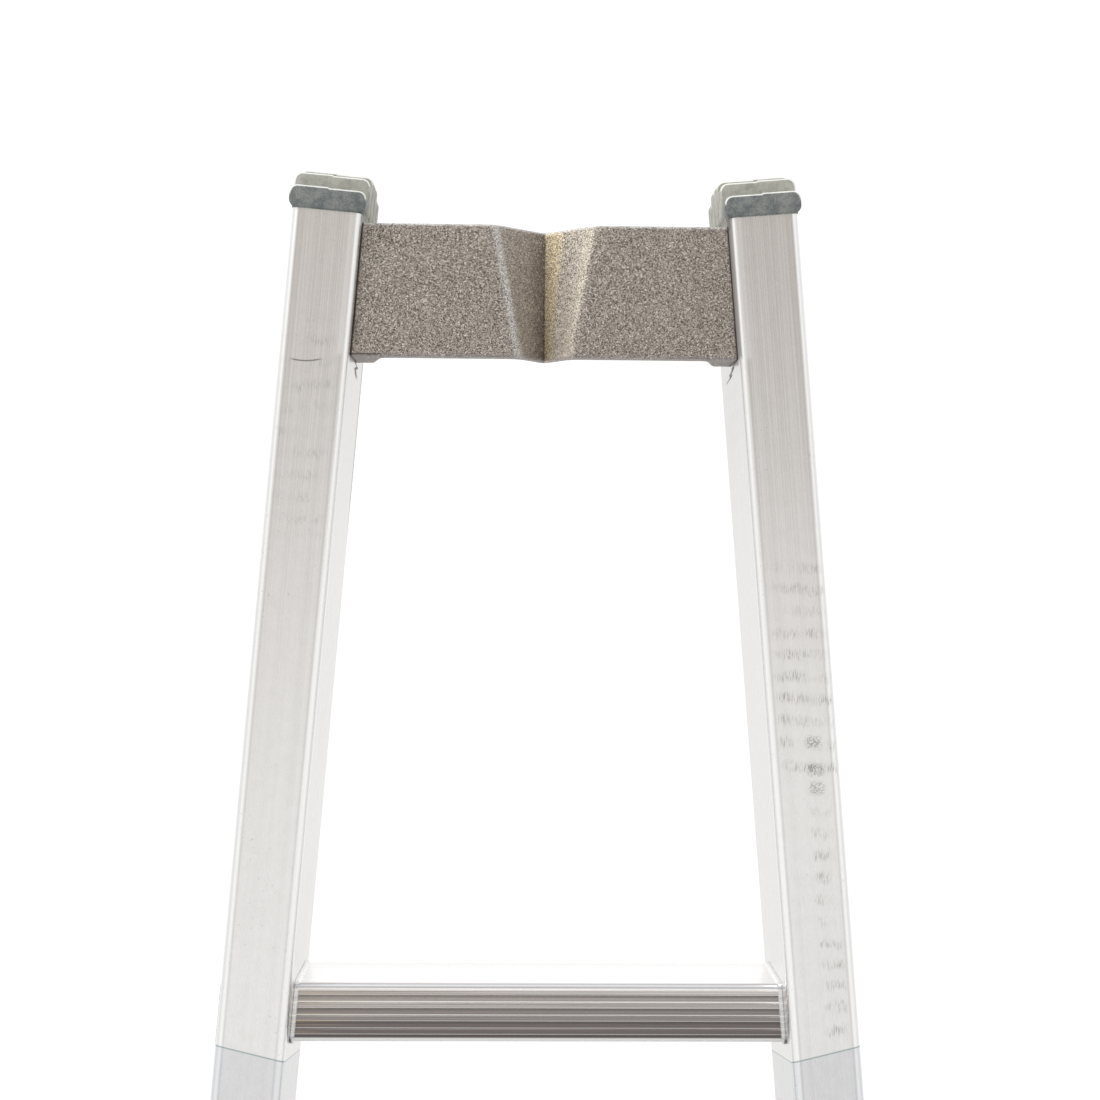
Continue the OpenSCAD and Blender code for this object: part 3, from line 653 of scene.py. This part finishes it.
mouldedLook = {
    "dust": (0.55, 0.54, 0.50),
    "litRibs": (0.55, 0.54, 0.46),
    # painted highlight on the caps' rims
    "wornAndHighlight": (0.86, 0.87, 0.84),
    "mottle": 190.0,
    "skin": 1900.0,
    "patches": 60.0,
    "litHalf": 0.0235,  # half the depth of the middle ribs painted paler, as lit from above
    "relief": 0.00012,
}


def mouldedFinish(name, light, dark, rough, dust=0.2, rim=0.0):
    # moulded rubber or plastic: mottled tone, pebbled skin, pale dust in patches, and a painted highlight on
    # the rims
    look = mouldedLook
    f = Finish(name)
    mottle, skin = f.noise(look["mottle"], 4.0, 0.65), f.noise(look["skin"], 2.0)
    patches = f.noise(look["patches"], 3.0)
    f.tone = f.mix((mottle * 0.6 + skin * 0.4).over(0.38, 0.62), dark, light)
    f.lay(look["dust"], patches.over(0.50, 0.72) * dust)
    if rim:
        # the middle ribs are painted paler, as lit from above, and the rims get a painted highlight
        middle = f.y.size().near(flyMiddle, look["litHalf"], look["litHalf"] - 0.0035)
        f.lay(look["litRibs"], middle * (mottle.over(0.3, 0.7) * 0.30 + 0.40))
        # a painted highlight on the rims' upper rounded edges
        wornAndHighlight = f.own("edge").over(0.25, 0.85) * (mottle.over(0.25, 0.6) * 0.3 + 0.7)
        f.lay(look["wornAndHighlight"], wornAndHighlight * rim)
    roughness = skin * 0.16 + patches * 0.12 + rough - 0.14
    return f.dress(roughness, skin * 0.7 + mottle * 0.5, look["relief"])


finishes = {
    "stile": stileFinish("drawnAluminium", False),
    "flyStile": stileFinish("drawnAluminiumWithFilm", True),
    "cast": castFinish(),
    "rung": rungFinish(),
    "guide": plainMetal("satinGuide", (0.73, 0.73, 0.73), (0.62, 0.62, 0.625), 0.40, 60.0, 0.75),
    "rivet": plainMetal("rivetMetal", (0.80, 0.80, 0.80), (0.66, 0.66, 0.66), 0.3, 260.0),
    "steel": plainMetal("zincPlatedSteel", (0.68, 0.68, 0.70), (0.50, 0.50, 0.53), 0.32, 140.0),
    "cap": mouldedFinish("capRubber", (0.204, 0.218, 0.206), (0.098, 0.111, 0.116), 0.5, 0.12, 0.9),
    "foot": mouldedFinish("footRubber", (0.060, 0.066, 0.064), (0.030, 0.034, 0.033), 0.72, 0.3),
    "glide": mouldedFinish("glidePlastic", (0.035, 0.035, 0.036), (0.020, 0.020, 0.021), 0.45, 0.08),
    "knob": mouldedFinish("knobPlastic", (0.030, 0.030, 0.032), (0.016, 0.016, 0.018), 0.4, 0.05),
}

# the first word that a node's name holds picks its finish
cadFinishes = (
    ("fly_stile", "flyStile"), ("stile", "stile"), ("rung", "rung"), ("cap", "cap"), ("plug", "cap"),
    ("foot", "foot"), ("glide", "glide"), ("knob", "knob"), ("rivets", "rivet"), ("guide", "guide"),
    ("stop", "guide"), ("housing", "guide"), ("top_bracket", "cast"), ("", "steel"),
)
for nodeName, node in nodes.items():
    paint(node, finishes[next(key for word, key in cadFinishes if word in nodeName)])
print("finishes made:", len(finishes))


def gridFaces(rows, columns, closeRows=False):
    # four-sided faces between neighbouring closed rings of points numbered row by row
    r = np.arange(rows if closeRows else rows - 1)[:, None]
    c = np.arange(columns)[None, :]
    nextR, nextC = (r + 1) % rows, (c + 1) % columns
    corners = (r * columns + c, r * columns + nextC, nextR * columns + nextC, nextR * columns + c)
    return np.stack(np.broadcast_arrays(*corners), axis=-1).reshape(-1, 4)


def signedVolume(points, faces):
    # six times the volume inside a closed mesh, negative where its faces point inwards
    total = 0.0
    for block in faces:
        first = points[block[:, :1]]
        second, third = points[block[:, 1:-1]], points[block[:, 2:]]
        total += (np.cross(second, third) * first).sum()
    return total


class Surface:
    # closed shells gathered into one mesh object
    def __init__(self):
        self.points, self.faces, self.edges, self.count = [], [], [], 0

    def shell(self, points, *faces, edge=None):
        # faces are arrays of corner numbers, one row a face; a shell that is inside out is turned
        # edge is 1 at the points of rounded edges and 0 elsewhere
        points = points.reshape(-1, 3)
        self.edges.append(np.zeros(len(points)) if edge is None else edge.ravel())
        inward = signedVolume(points, faces) < 0
        for block in faces:
            self.faces += ((block[:, ::-1] if inward else block) + self.count).tolist()
        self.points.append(points)
        self.count += len(points)

    def piece(self, name, body, finish, stands, sharp=38.0):
        mesh = bpy.data.meshes.new(name)
        mesh.from_pydata(np.concatenate(self.points), [], self.faces)
        edge = mesh.attributes.new("edge", "FLOAT", "POINT")
        edge.data.foreach_set("value", np.concatenate(self.edges))
        mesh.update()
        mesh.shade_smooth()
        mesh.set_sharp_from_angle(angle=math.radians(sharp))
        made = placed(name, mesh)
        paint(made, finish)
        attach(made, body)
        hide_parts(stands)
        return made


def ringNormals(ring):
    # outward normal at each point of a closed anticlockwise ring: the chord through its neighbours, turned
    chord = np.roll(ring, -1, axis=-2) - np.roll(ring, 1, axis=-2)
    turned = np.stack([chord[..., 1], -chord[..., 0]], axis=-1)
    return turned / np.maximum(np.linalg.norm(turned, axis=-1, keepdims=True), 1e-12)


def roundedOutline(width, height, radius, steps=8, seam=0.0):
    # rectangle whose corners are quarter circles, as one closed anticlockwise ring of (a, b)
    # with a seam, two more points lie that far either side of the middle of its top and bottom
    angle = np.linspace(0, math.pi / 2, steps)
    corners = []
    for turn, (a, b) in enumerate(((1, 1), (-1, 1), (-1, -1), (1, -1))):
        swept = angle + turn * math.pi / 2
        middle = np.array([a * (width / 2 - radius), b * (height / 2 - radius)])
        corners.append(middle + radius * np.stack([np.cos(swept), np.sin(swept)], axis=1))
        if seam and turn in (0, 2):
            across = seam if turn == 0 else -seam
            corners.append(np.array([[across, b * height / 2], [-across, b * height / 2]]))
    return np.concatenate(corners)


def rounding(edge, steps):
    # how far in and how far up the points of a rounded edge lie, along a quarter circle of this radius
    angle = np.linspace(0, math.pi / 2, steps)
    return edge * (1 - np.sin(angle)), edge * (1 - np.cos(angle))


def slab(ring, low, high, edge):
    # a ring of (a, b) carried from low to high and drawn in near both ends, as rows of (a, b, level)
    inset, rise = rounding(edge, 5)
    inset = np.concatenate([inset, inset[::-1]])
    level = np.concatenate([low + rise, high - rise[::-1]])
    rows = ring[None] - ringNormals(ring)[None] * inset[:, None, None]
    return np.concatenate([rows, np.broadcast_to(level[:, None, None], (*rows.shape[:2], 1))], axis=2)


def slabFaces(rows):
    # the sides of a slab, and one face over each end
    count, around = rows.shape[:2]
    last = (count - 1) * around
    return gridFaces(count, around), np.arange(around)[None, ::-1], (last + np.arange(around))[None]


print("surfaces ready")

rungShape = {
    "depth": 0.034,
    "height": 0.023,
    "corner": 0.002,
    "wall": 0.0022,
    "boreCorner": 0.001,
    "ribs": 4,
    "ribPitch": 0.0051,
    "ribWidth": 0.0023,
    "ribHeight": 0.0007,
    "ribFlank": 0.0003,
    "firstRib": 0.0034,  # its middle below the top
    "collarWidth": 0.0018,
    "collarHeight": 0.0009,
    "flangeThickness": 0.0012,
    "flangeWidth": 0.0028,
    "softening": 0.0003,  # rounding of collars and flanges
    "shoulder": 0.82,  # how far out the middle of a rib's flank stands
    "cornerPoints": 7,
}


def ribLevels():
    # heights of the points down a rung's face, and how far out of full each stands on a rib
    look = rungShape
    middles = look["height"] / 2 - look["firstRib"] - look["ribPitch"] * np.arange(look["ribs"])
    half, flank = look["ribWidth"] / 2, look["ribFlank"]
    offsets = np.array([half + flank / 2, half - flank / 2, half - flank])
    offsets = np.concatenate([offsets, -offsets[::-1]])
    share = np.array([0.0, look["shoulder"], 1.0, 1.0, look["shoulder"], 0.0])
    end = look["height"] / 2 - look["corner"]
    levels = np.concatenate([[end], (middles[:, None] + offsets).ravel(), [-end]])
    return np.clip(levels, -end, end), np.concatenate([[0], np.tile(share, look["ribs"]), [0]])


def rungRing(grow, corner, ribShare):
    # ring of (y, z) round a rung: rear face upwards, over the top, front face down, back underneath
    look = rungShape
    levels, share = ribLevels()
    endZ = look["height"] / 2 + grow - corner
    endY = look["depth"] / 2 + grow - corner
    z = levels / levels[0] * endZ
    out = endY + corner + share * look["ribHeight"] * ribShare
    arc = np.linspace(0, math.pi / 2, look["cornerPoints"])[1:-1]
    cosine, sine = corner * np.cos(arc), corner * np.sin(arc)
    rear = np.stack([out, z], axis=1)[::-1]
    topRear = np.stack([endY + cosine, endZ + sine], axis=1)
    topEdge = np.array([[endY, endZ + corner], [-endY, endZ + corner]])
    topFront = np.stack([-endY - sine, endZ + cosine], axis=1)
    upper = np.concatenate([rear, topRear, topEdge, topFront])
    front = np.stack([-out, z], axis=1)
    lower = np.concatenate([topRear, topEdge, topFront]) * [-1, -1]
    return np.concatenate([upper, front, lower])


def addRung(name, body, middleY, middleZ):
    # rings set square to X on the right, then mirrored for the left; the bore joins the two ends
    look = rungShape
    soft, collar = look["softening"], look["collarWidth"]
    raised, flange, thick = look["collarHeight"], look["flangeWidth"], look["flangeThickness"]
    stations = (  # plane, distance outwards from it, growth, ribs
        (innerPlane, -collar, 0.0, 1.0),
        (innerPlane, -collar, raised - soft, 0.0),
        (innerPlane, soft - collar, raised, 0.0),
        (innerPlane, -soft, raised, 0.0),
        (innerPlane, 0.0, raised - soft, 0.0),
        (innerPlane, 0.0, 0.0, 0.0),
        (outerPlane, 0.0, 0.0, 0.0),
        (outerPlane, 0.0, flange, 0.0),
        (outerPlane, thick - soft, flange, 0.0),
        (outerPlane, thick, flange - soft, 0.0),
        (outerPlane, thick, -look["wall"], 0.0),
    )
    rows = []
    for plane, out, grow, ribs in stations:
        corner = look["boreCorner"] if grow < 0 else look["corner"] + grow
        ring = rungRing(grow, corner, ribs) + [middleY, middleZ]
        rows.append(np.concatenate([(plane(ring[:, 1]) + out)[:, None], ring], axis=1))
    right = np.stack(rows)
    left = right[::-1] * [-1, 1, 1]
    points = np.concatenate([left, right])
    surface = Surface()
    surface.shell(points, gridFaces(*points.shape[:2], closeRows=True))
    surface.piece(name + "_extrusion", body, finishes["rung"], name)


for body, middle in (("base", baseMiddle), ("fly", flyMiddle)):
    for number in range(1, ladder[body + "Rungs"] + 1):
        addRung(f"{body}_rung_{number}", body, middle, number * ladder["rungPitch"])
print("rungs made")

capShape = {
    "lip": 0.0012,
    "ribs": 6,
    "ribWidth": 0.0088,
    "ribCorner": 0.0032,
    "ribEdge": 0.0008,
    "edgeHeight": 0.0086,
    "crownHeight": 0.019,
    "baseHeight": 0.0055,
    "baseInset": 0.001,
    "baseCorner": 0.003,
    "plugLength": 0.010,
    "plugInset": 0.0022,
    "plugCorner": 0.0015,
    "plugOverlap": 0.001,  # how far the plug runs up into the cap
    "softening": 0.0006,  # rounding of the plug and of the solid under the grooves
    "seamStep": 0.00035,  # by which one half of the mould stands lower
    "seamWidth": 0.00012,
    "highlightDepth": 0.0012,  # over which the painted highlight on a rim ends
}


def capShells():
    # plug, solid under the grooves, and ribs, in (across, deep, up) about the middle of the stile's end
    look = capShape
    width = ladder["stileWidth"] + 2 * look["lip"]
    depth = ladder["stileDepth"] + 2 * look["lip"]
    inPlug, inBase, soft = 2 * look["plugInset"], 2 * look["baseInset"], look["softening"]
    plug = roundedOutline(ladder["stileWidth"] - inPlug, ladder["stileDepth"] - inPlug, look["plugCorner"])
    base = roundedOutline(width - inBase, depth - inBase, look["baseCorner"])
    shells = [
        slab(plug, -look["plugLength"], look["plugOverlap"], soft),
        slab(base, 0.0, look["baseHeight"], soft),
    ]
    edgeY = (depth - look["ribWidth"]) / 2
    rise = look["crownHeight"] - look["edgeHeight"]
    domeRadius = (edgeY * edgeY + rise * rise) / (2 * rise)
    for y in np.linspace(-edgeY, edgeY, look["ribs"]):
        height = look["crownHeight"] - domeRadius + math.sqrt(domeRadius * domeRadius - y * y)
        ring = roundedOutline(width, height, look["ribCorner"], seam=look["seamWidth"])
        ring[:, 1] += height / 2
        upper = np.clip(ring[:, 1] / height * 2 - 1, 0, 1)
        ring[:, 1] -= np.where(ring[:, 0] < 0, look["seamStep"], 0.0) * upper
        rows = slab(ring, y - look["ribWidth"] / 2, y + look["ribWidth"] / 2, look["ribEdge"])
        shells.append(rows[..., [0, 2, 1]])
    return shells


def highlitRims(up):
    # where the painted highlight lies: 1 along the rounding of a rib's upper edge, down to where its ends run
    # straight, and 0 elsewhere
    rounded = [1, 2, 3, -4, -3, -2]
    wornAndHighlight = np.zeros(up.shape)
    above = (up[rounded] - up.max() + capShape["ribCorner"]) / capShape["highlightDepth"]
    wornAndHighlight[rounded] = np.clip(above + 0.7, 0, 1)
    return wornAndHighlight


def addCap(name, body, side, end, lean, upside):
    # the local axes turned by the lean and set on the end of the stile; the left one is mirrored
    cosine, sine = math.cos(lean), math.sin(lean)
    surface = Surface()
    for rows in capShells():
        across, deep, up = rows[..., 0], rows[..., 1], rows[..., 2] * upside
        x = end[0] + across * cosine - up * sine
        z = end[2] + across * sine + up * cosine
        points = np.stack([side * x, end[1] + deep, z], axis=-1)
        surface.shell(points, *slabFaces(rows), edge=highlitRims(rows[..., 2]))
    surface.piece(name + "_moulding", body, finishes["cap"], name)


leanAngle = math.atan(taperTan)
halfStile = ladder["stileWidth"] / 2
straightX = ladder["halfWidth"] - halfStile
for sideName, side in sides.items():
    top = (ladder["topHalf"] - halfStile * taperCos, flyMiddle, flyTop - halfStile * math.sin(leanAngle))
    addCap(f"fly_cap_{sideName}", "fly", side, top, leanAngle, 1)
    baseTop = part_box(f"base_stile_{sideName}")[1][2]
    addCap(f"base_cap_{sideName}", "base", side, (straightX, baseMiddle, baseTop), 0.0, 1)
    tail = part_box(f"fly_stile_{sideName}")[0][2]
    addCap(f"fly_tail_plug_{sideName}", "fly", side, (straightX, flyMiddle, tail), 0.0, -1)
print("caps made")


def filleted(corners, cuts, straight, arc=9):
    # corners is [row, corner, 2] of an open path; each corner is cut back by its length along both arms and
    # rounded with a parabola, and the runs between are divided evenly
    t = np.linspace(0, 1, arc)[None, :, None]
    last = corners.shape[1] - 1
    starts, ends, parts = [], [], []
    for i in range(last + 1):
        here = corners[:, i]
        arms = [corners[:, max(i - 1, 0)] - here, corners[:, min(i + 1, last)] - here]
        reach = [np.maximum(np.linalg.norm(arm, axis=1, keepdims=True), 1e-9) for arm in arms]
        one, two = (here + arm * cuts[i] / length for arm, length in zip(arms, reach))
        starts.append(one)
        ends.append(two)
        parts.append((1 - t) ** 2 * one[:, None] + 2 * t * (1 - t) * here[:, None] + t * t * two[:, None])
    path = [parts[0]]
    for i in range(1, last + 1):
        u = np.linspace(0, 1, straight[i - 1] + 2)[1:-1][None, :, None]
        path += [ends[i - 1][:, None] * (1 - u) + starts[i][:, None] * u, parts[i]]
    return np.concatenate(path, axis=1)


def unevenness(points, size, seed):
    # smooth wander of a surface: a few sine waves in seeded directions, about 1 high
    chance = np.random.default_rng(seed)
    count = 9
    waves = chance.normal(size=(count, 3)) / size
    phases = chance.uniform(0, 2 * math.pi, count)
    return np.sin(points @ waves.T + phases).sum(axis=-1) / math.sqrt(count)


def castingLevels():
    # heights of the rings, closer together on the rounded edges, and how far each is drawn in there
    look = castShape
    inset, rise = rounding(look["edge"], 6)
    straight = np.linspace(restBottom + look["firstLevel"], restTop - look["firstLevel"], look["levels"])
    z = np.concatenate([restBottom + rise, straight, restTop - rise[::-1]])
    return z, np.concatenate([inset, np.zeros(look["levels"]), inset[::-1]])


def castingRing(z):
    # the casting's outline at each height z, in (x, y): front faces and notch, then the rear with its lugs
    look = castShape
    share = (z - restBottom) / (restTop - restBottom)
    half = (look["notchBottom"] + (look["notchTop"] - look["notchBottom"]) * share) / 2
    end = innerPlane(z) - look["play"]
    flat = np.zeros_like(z)
    backDepth = look["notchDepth"] + look["notchWall"]
    backHalf = (half + look["notchWall"]) * (1 - look["thickness"] / backDepth)

    def path(*pairs):
        return np.stack([np.stack([x + flat, y + flat], axis=1) for x, y in pairs], axis=1)

    root, lug = end - look["lugRoot"], end - look["lugWidth"]
    thick, deep = look["thickness"], look["lugDepth"]
    frontHalf = ((half, 0), (root, 0), (lug, 0), (end, 0))
    rearHalf = ((backHalf, thick), (root, thick), (lug, deep), (end, deep))
    mirrored = [[(-x, y) for x, y in side[::-1]] for side in (frontHalf, rearHalf)]
    frontPath = path(*mirrored[0], (0, look["notchDepth"]), *frontHalf)
    rearPath = path(*mirrored[1], (0, backDepth), *rearHalf)
    rear = filleted(rearPath, look["rearCuts"], look["runs"])[:, ::-1]
    return np.concatenate([filleted(frontPath, look["frontCuts"], look["runs"]), rear], axis=1), end


def addCasting():
    # the rings are drawn in square to their outline on the rounded edges, though never along x at the ends
    look = castShape
    z, inset = castingLevels()
    ring, end = castingRing(z)
    normals = ringNormals(ring)
    atEnd = np.abs(ring[..., :1]) > end[:, None, None] - 1e-6
    ring = ring - normals * inset[:, None, None] * np.where(atEnd, [0.0, 1.0], [1.0, 1.0])
    levels = np.broadcast_to(z[:, None, None], (*ring.shape[:2], 1))
    points = np.concatenate([ring, levels], axis=2) + [0, restFront, 0]
    wander = unevenness(points, look["wanderLength"], look["wanderSeed"])[..., None] * look["wander"]
    wander = wander * (inset == 0)[:, None, None]
    points[..., :2] += normals * wander * (np.abs(normals[..., 1:]) > 0.5)
    rows, around = points.shape[:2]
    i = np.arange(around // 2 - 1)
    strip = np.stack([i, i + 1, around - 2 - i, around - 1 - i], axis=1)
    surface = Surface()
    surface.shell(points, gridFaces(rows, around), strip[:, ::-1], strip + (rows - 1) * around)
    surface.piece("top_bracket_casting", "fly", finishes["cast"], "top_bracket", 50.0)


addCasting()
print("casting made")

springShape = {"wire": 0.0016, "turns": 6, "steps": 28, "around": 10, "travel": 0.02}


def addSpring(sideName):
    # a circle of wire carried round a helix along Y
    look = springShape
    low, high = (np.array(corner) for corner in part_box(f"latch_spring_{sideName}"))
    middle, radius = (low + high) / 2, (high[2] - low[2] - look["wire"]) / 2
    turn = np.linspace(0, 2 * math.pi * look["turns"], look["turns"] * look["steps"])[:, None]
    section = np.linspace(0, 2 * math.pi, look["around"], endpoint=False)[None]
    out = radius + look["wire"] / 2 * np.cos(section)
    along = low[1] + look["wire"] / 2 + (high[1] - low[1] - look["wire"]) * turn / turn[-1]
    points = np.stack([
        middle[0] + out * np.cos(turn),
        along + look["wire"] / 2 * np.sin(section),
        middle[2] + out * np.sin(turn),
    ], axis=-1)
    surface = Surface()
    surface.shell(points, *slabFaces(points))
    name = f"latch_spring_{sideName}"
    made = surface.piece(name + "_coil", "fly", finishes["steel"], name)
    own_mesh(made)


for sideName in sides:
    addSpring(sideName)
print("springs made")

floorLook = {
    "size": 16.0,
    "tone": (0.80, 0.80, 0.79),
    "cloud": (0.74, 0.74, 0.73),
    "fadeFrom": 3.5,  # it fades out between these distances from its edge
    "fadeTo": 0.3,
}


def addFloor():
    look = floorLook
    half = look["size"] / 2
    mesh = bpy.data.meshes.new("floor")
    corners = [(-half, -half, 0), (half, -half, 0), (half, half, 0), (-half, half, 0)]
    mesh.from_pydata(corners, [], [(0, 1, 2, 3)])
    made = placed("floor", mesh)
    f = Finish("floorPaint", Roughness=0.8)
    reach = (f.x * f.x + f.y * f.y).root()
    f.feed("Alpha", reach.over(half - look["fadeTo"], half - look["fadeFrom"]))
    f.feed("Base Color", f.mix(f.noise(3.0).over(0.3, 0.7) * 0.15, look["tone"], look["cloud"]))
    paint(made, f)


addFloor()

# tones around the ladder; metal shows them as reflections
worldLook = {
    "seen": (1.075, 1.07, 1.065),  # the backdrop itself, from every side
    "low": (1.02, 1.015, 1.015),  # in front of the ladder: light below the eye, warm and darker above it
    "high": (0.53, 0.49, 0.45),
    "lowest": -0.26,
    "highest": 0.25,
    "dark": (0.0, 0.0, 0.0),
    "rightLoss": 0.13,
    "patch": (1.25, 1.25, 1.25),
    "lowPatch": 0.55,
    "highPatch": 0.13,
    "lossHeight": -0.09,  # level of the loss and of the low patch, and of the high one
    "patchHeight": 0.06,
    "sides": (0.97, 0.97, 0.965),
    "square": (0.80, 0.80, 0.80),
    "behind": (0.975, 0.97, 0.962),
    "overhead": (1.12, 1.12, 1.12),
}


def makeWorld():
    # a grey cone in front of the ladder, darker above the eye; bright sides, brighter high up behind
    look = worldLook
    world = bpy.data.worlds.new("studio")
    bpy.context.scene.world = world
    world.use_nodes = True
    g = Graph(world.node_tree)
    x, y, z = g.coordinates("Generated")[1]
    g.tone = g.mix(y.over(-0.35, 0.25), look["sides"], look["behind"])
    g.lay(look["overhead"], z.over(0.10, 0.24) * y.over(0.4, 0.8))
    g.lay(look["square"], x.size().over(0.80, 0.95))
    around = g.tone
    g.tone = g.mix(z.over(look["lowest"], look["highest"]), look["low"], look["high"])
    loss = (z - look["lossHeight"]).size().over(0.01, 0.14) * x.over(-0.25, 0.3)
    g.lay(look["dark"], loss * look["rightLoss"])
    # and a pale patch on each side of it, low on the right and higher on the left
    lowPatch = (z - look["lossHeight"]).size().over(0.11, 0.0) * x.over(0.0, 0.16) * look["lowPatch"]
    highPatch = (z - look["patchHeight"]).size().over(0.12, 0.0) * x.over(0.0, -0.16) * look["highPatch"]
    g.lay(look["patch"], lowPatch + highPatch)
    g.lay(around, y.over(-0.92, -0.72))
    g.lay(look["seen"], g.node("ShaderNodeLightPath", {}, {}, "Is Camera Ray"))
    background = next(node for node in g.tree.nodes if node.type == "BACKGROUND")
    g.tree.links.new(g.tone.socket, background.inputs["Color"])


keyLight = {"place": (-2.2, -1.6, 5.6), "aim": (0.0, 0.0, 2.8), "size": 1.4, "power": 66.0}


def addSoftbox(name, look):
    # a square area light at its place, turned to face what it aims at
    light = bpy.data.lights.new(name, "AREA")
    light.size, light.energy = look["size"], look["power"]
    made = placed(name, light)
    made.location = look["place"]
    across, along, up = np.subtract(look["aim"], look["place"])
    made.rotation_euler = (math.atan2(math.hypot(across, along), -up), 0.0, math.atan2(-across, along))


cameraLook = {
    "lens": 53.4,
    "sensor": 36.0,
    "farthest": 100.0,
    "aside": -0.0110,  # from the ladder's middle
    "away": 0.6235,  # in front of the fly stiles
    "below": 0.0995,  # under the middle of the pole rest
    "roll": -0.47,  # degrees
    "turn": -1.25,
}


def makeCamera():
    # level with a point a little below the pole rest, turned a little from square to the ladder
    look = cameraLook
    camera = bpy.data.cameras.new("camera")
    camera.lens, camera.sensor_width, camera.clip_end = look["lens"], look["sensor"], look["farthest"]
    made = placed("camera", camera)
    middle = (restBottom + restTop) / 2
    made.location = (look["aside"], ladder["flyFront"] - look["away"], middle - look["below"])
    made.rotation_euler = (math.pi / 2, math.radians(look["roll"]), math.radians(look["turn"]))
    bpy.context.scene.camera = made


makeWorld()
addSoftbox("keyLight", keyLight)
bpy.context.scene.view_settings.view_transform = "Standard"
bpy.context.scene.view_settings.look = "None"
makeCamera()
print("stage ready")
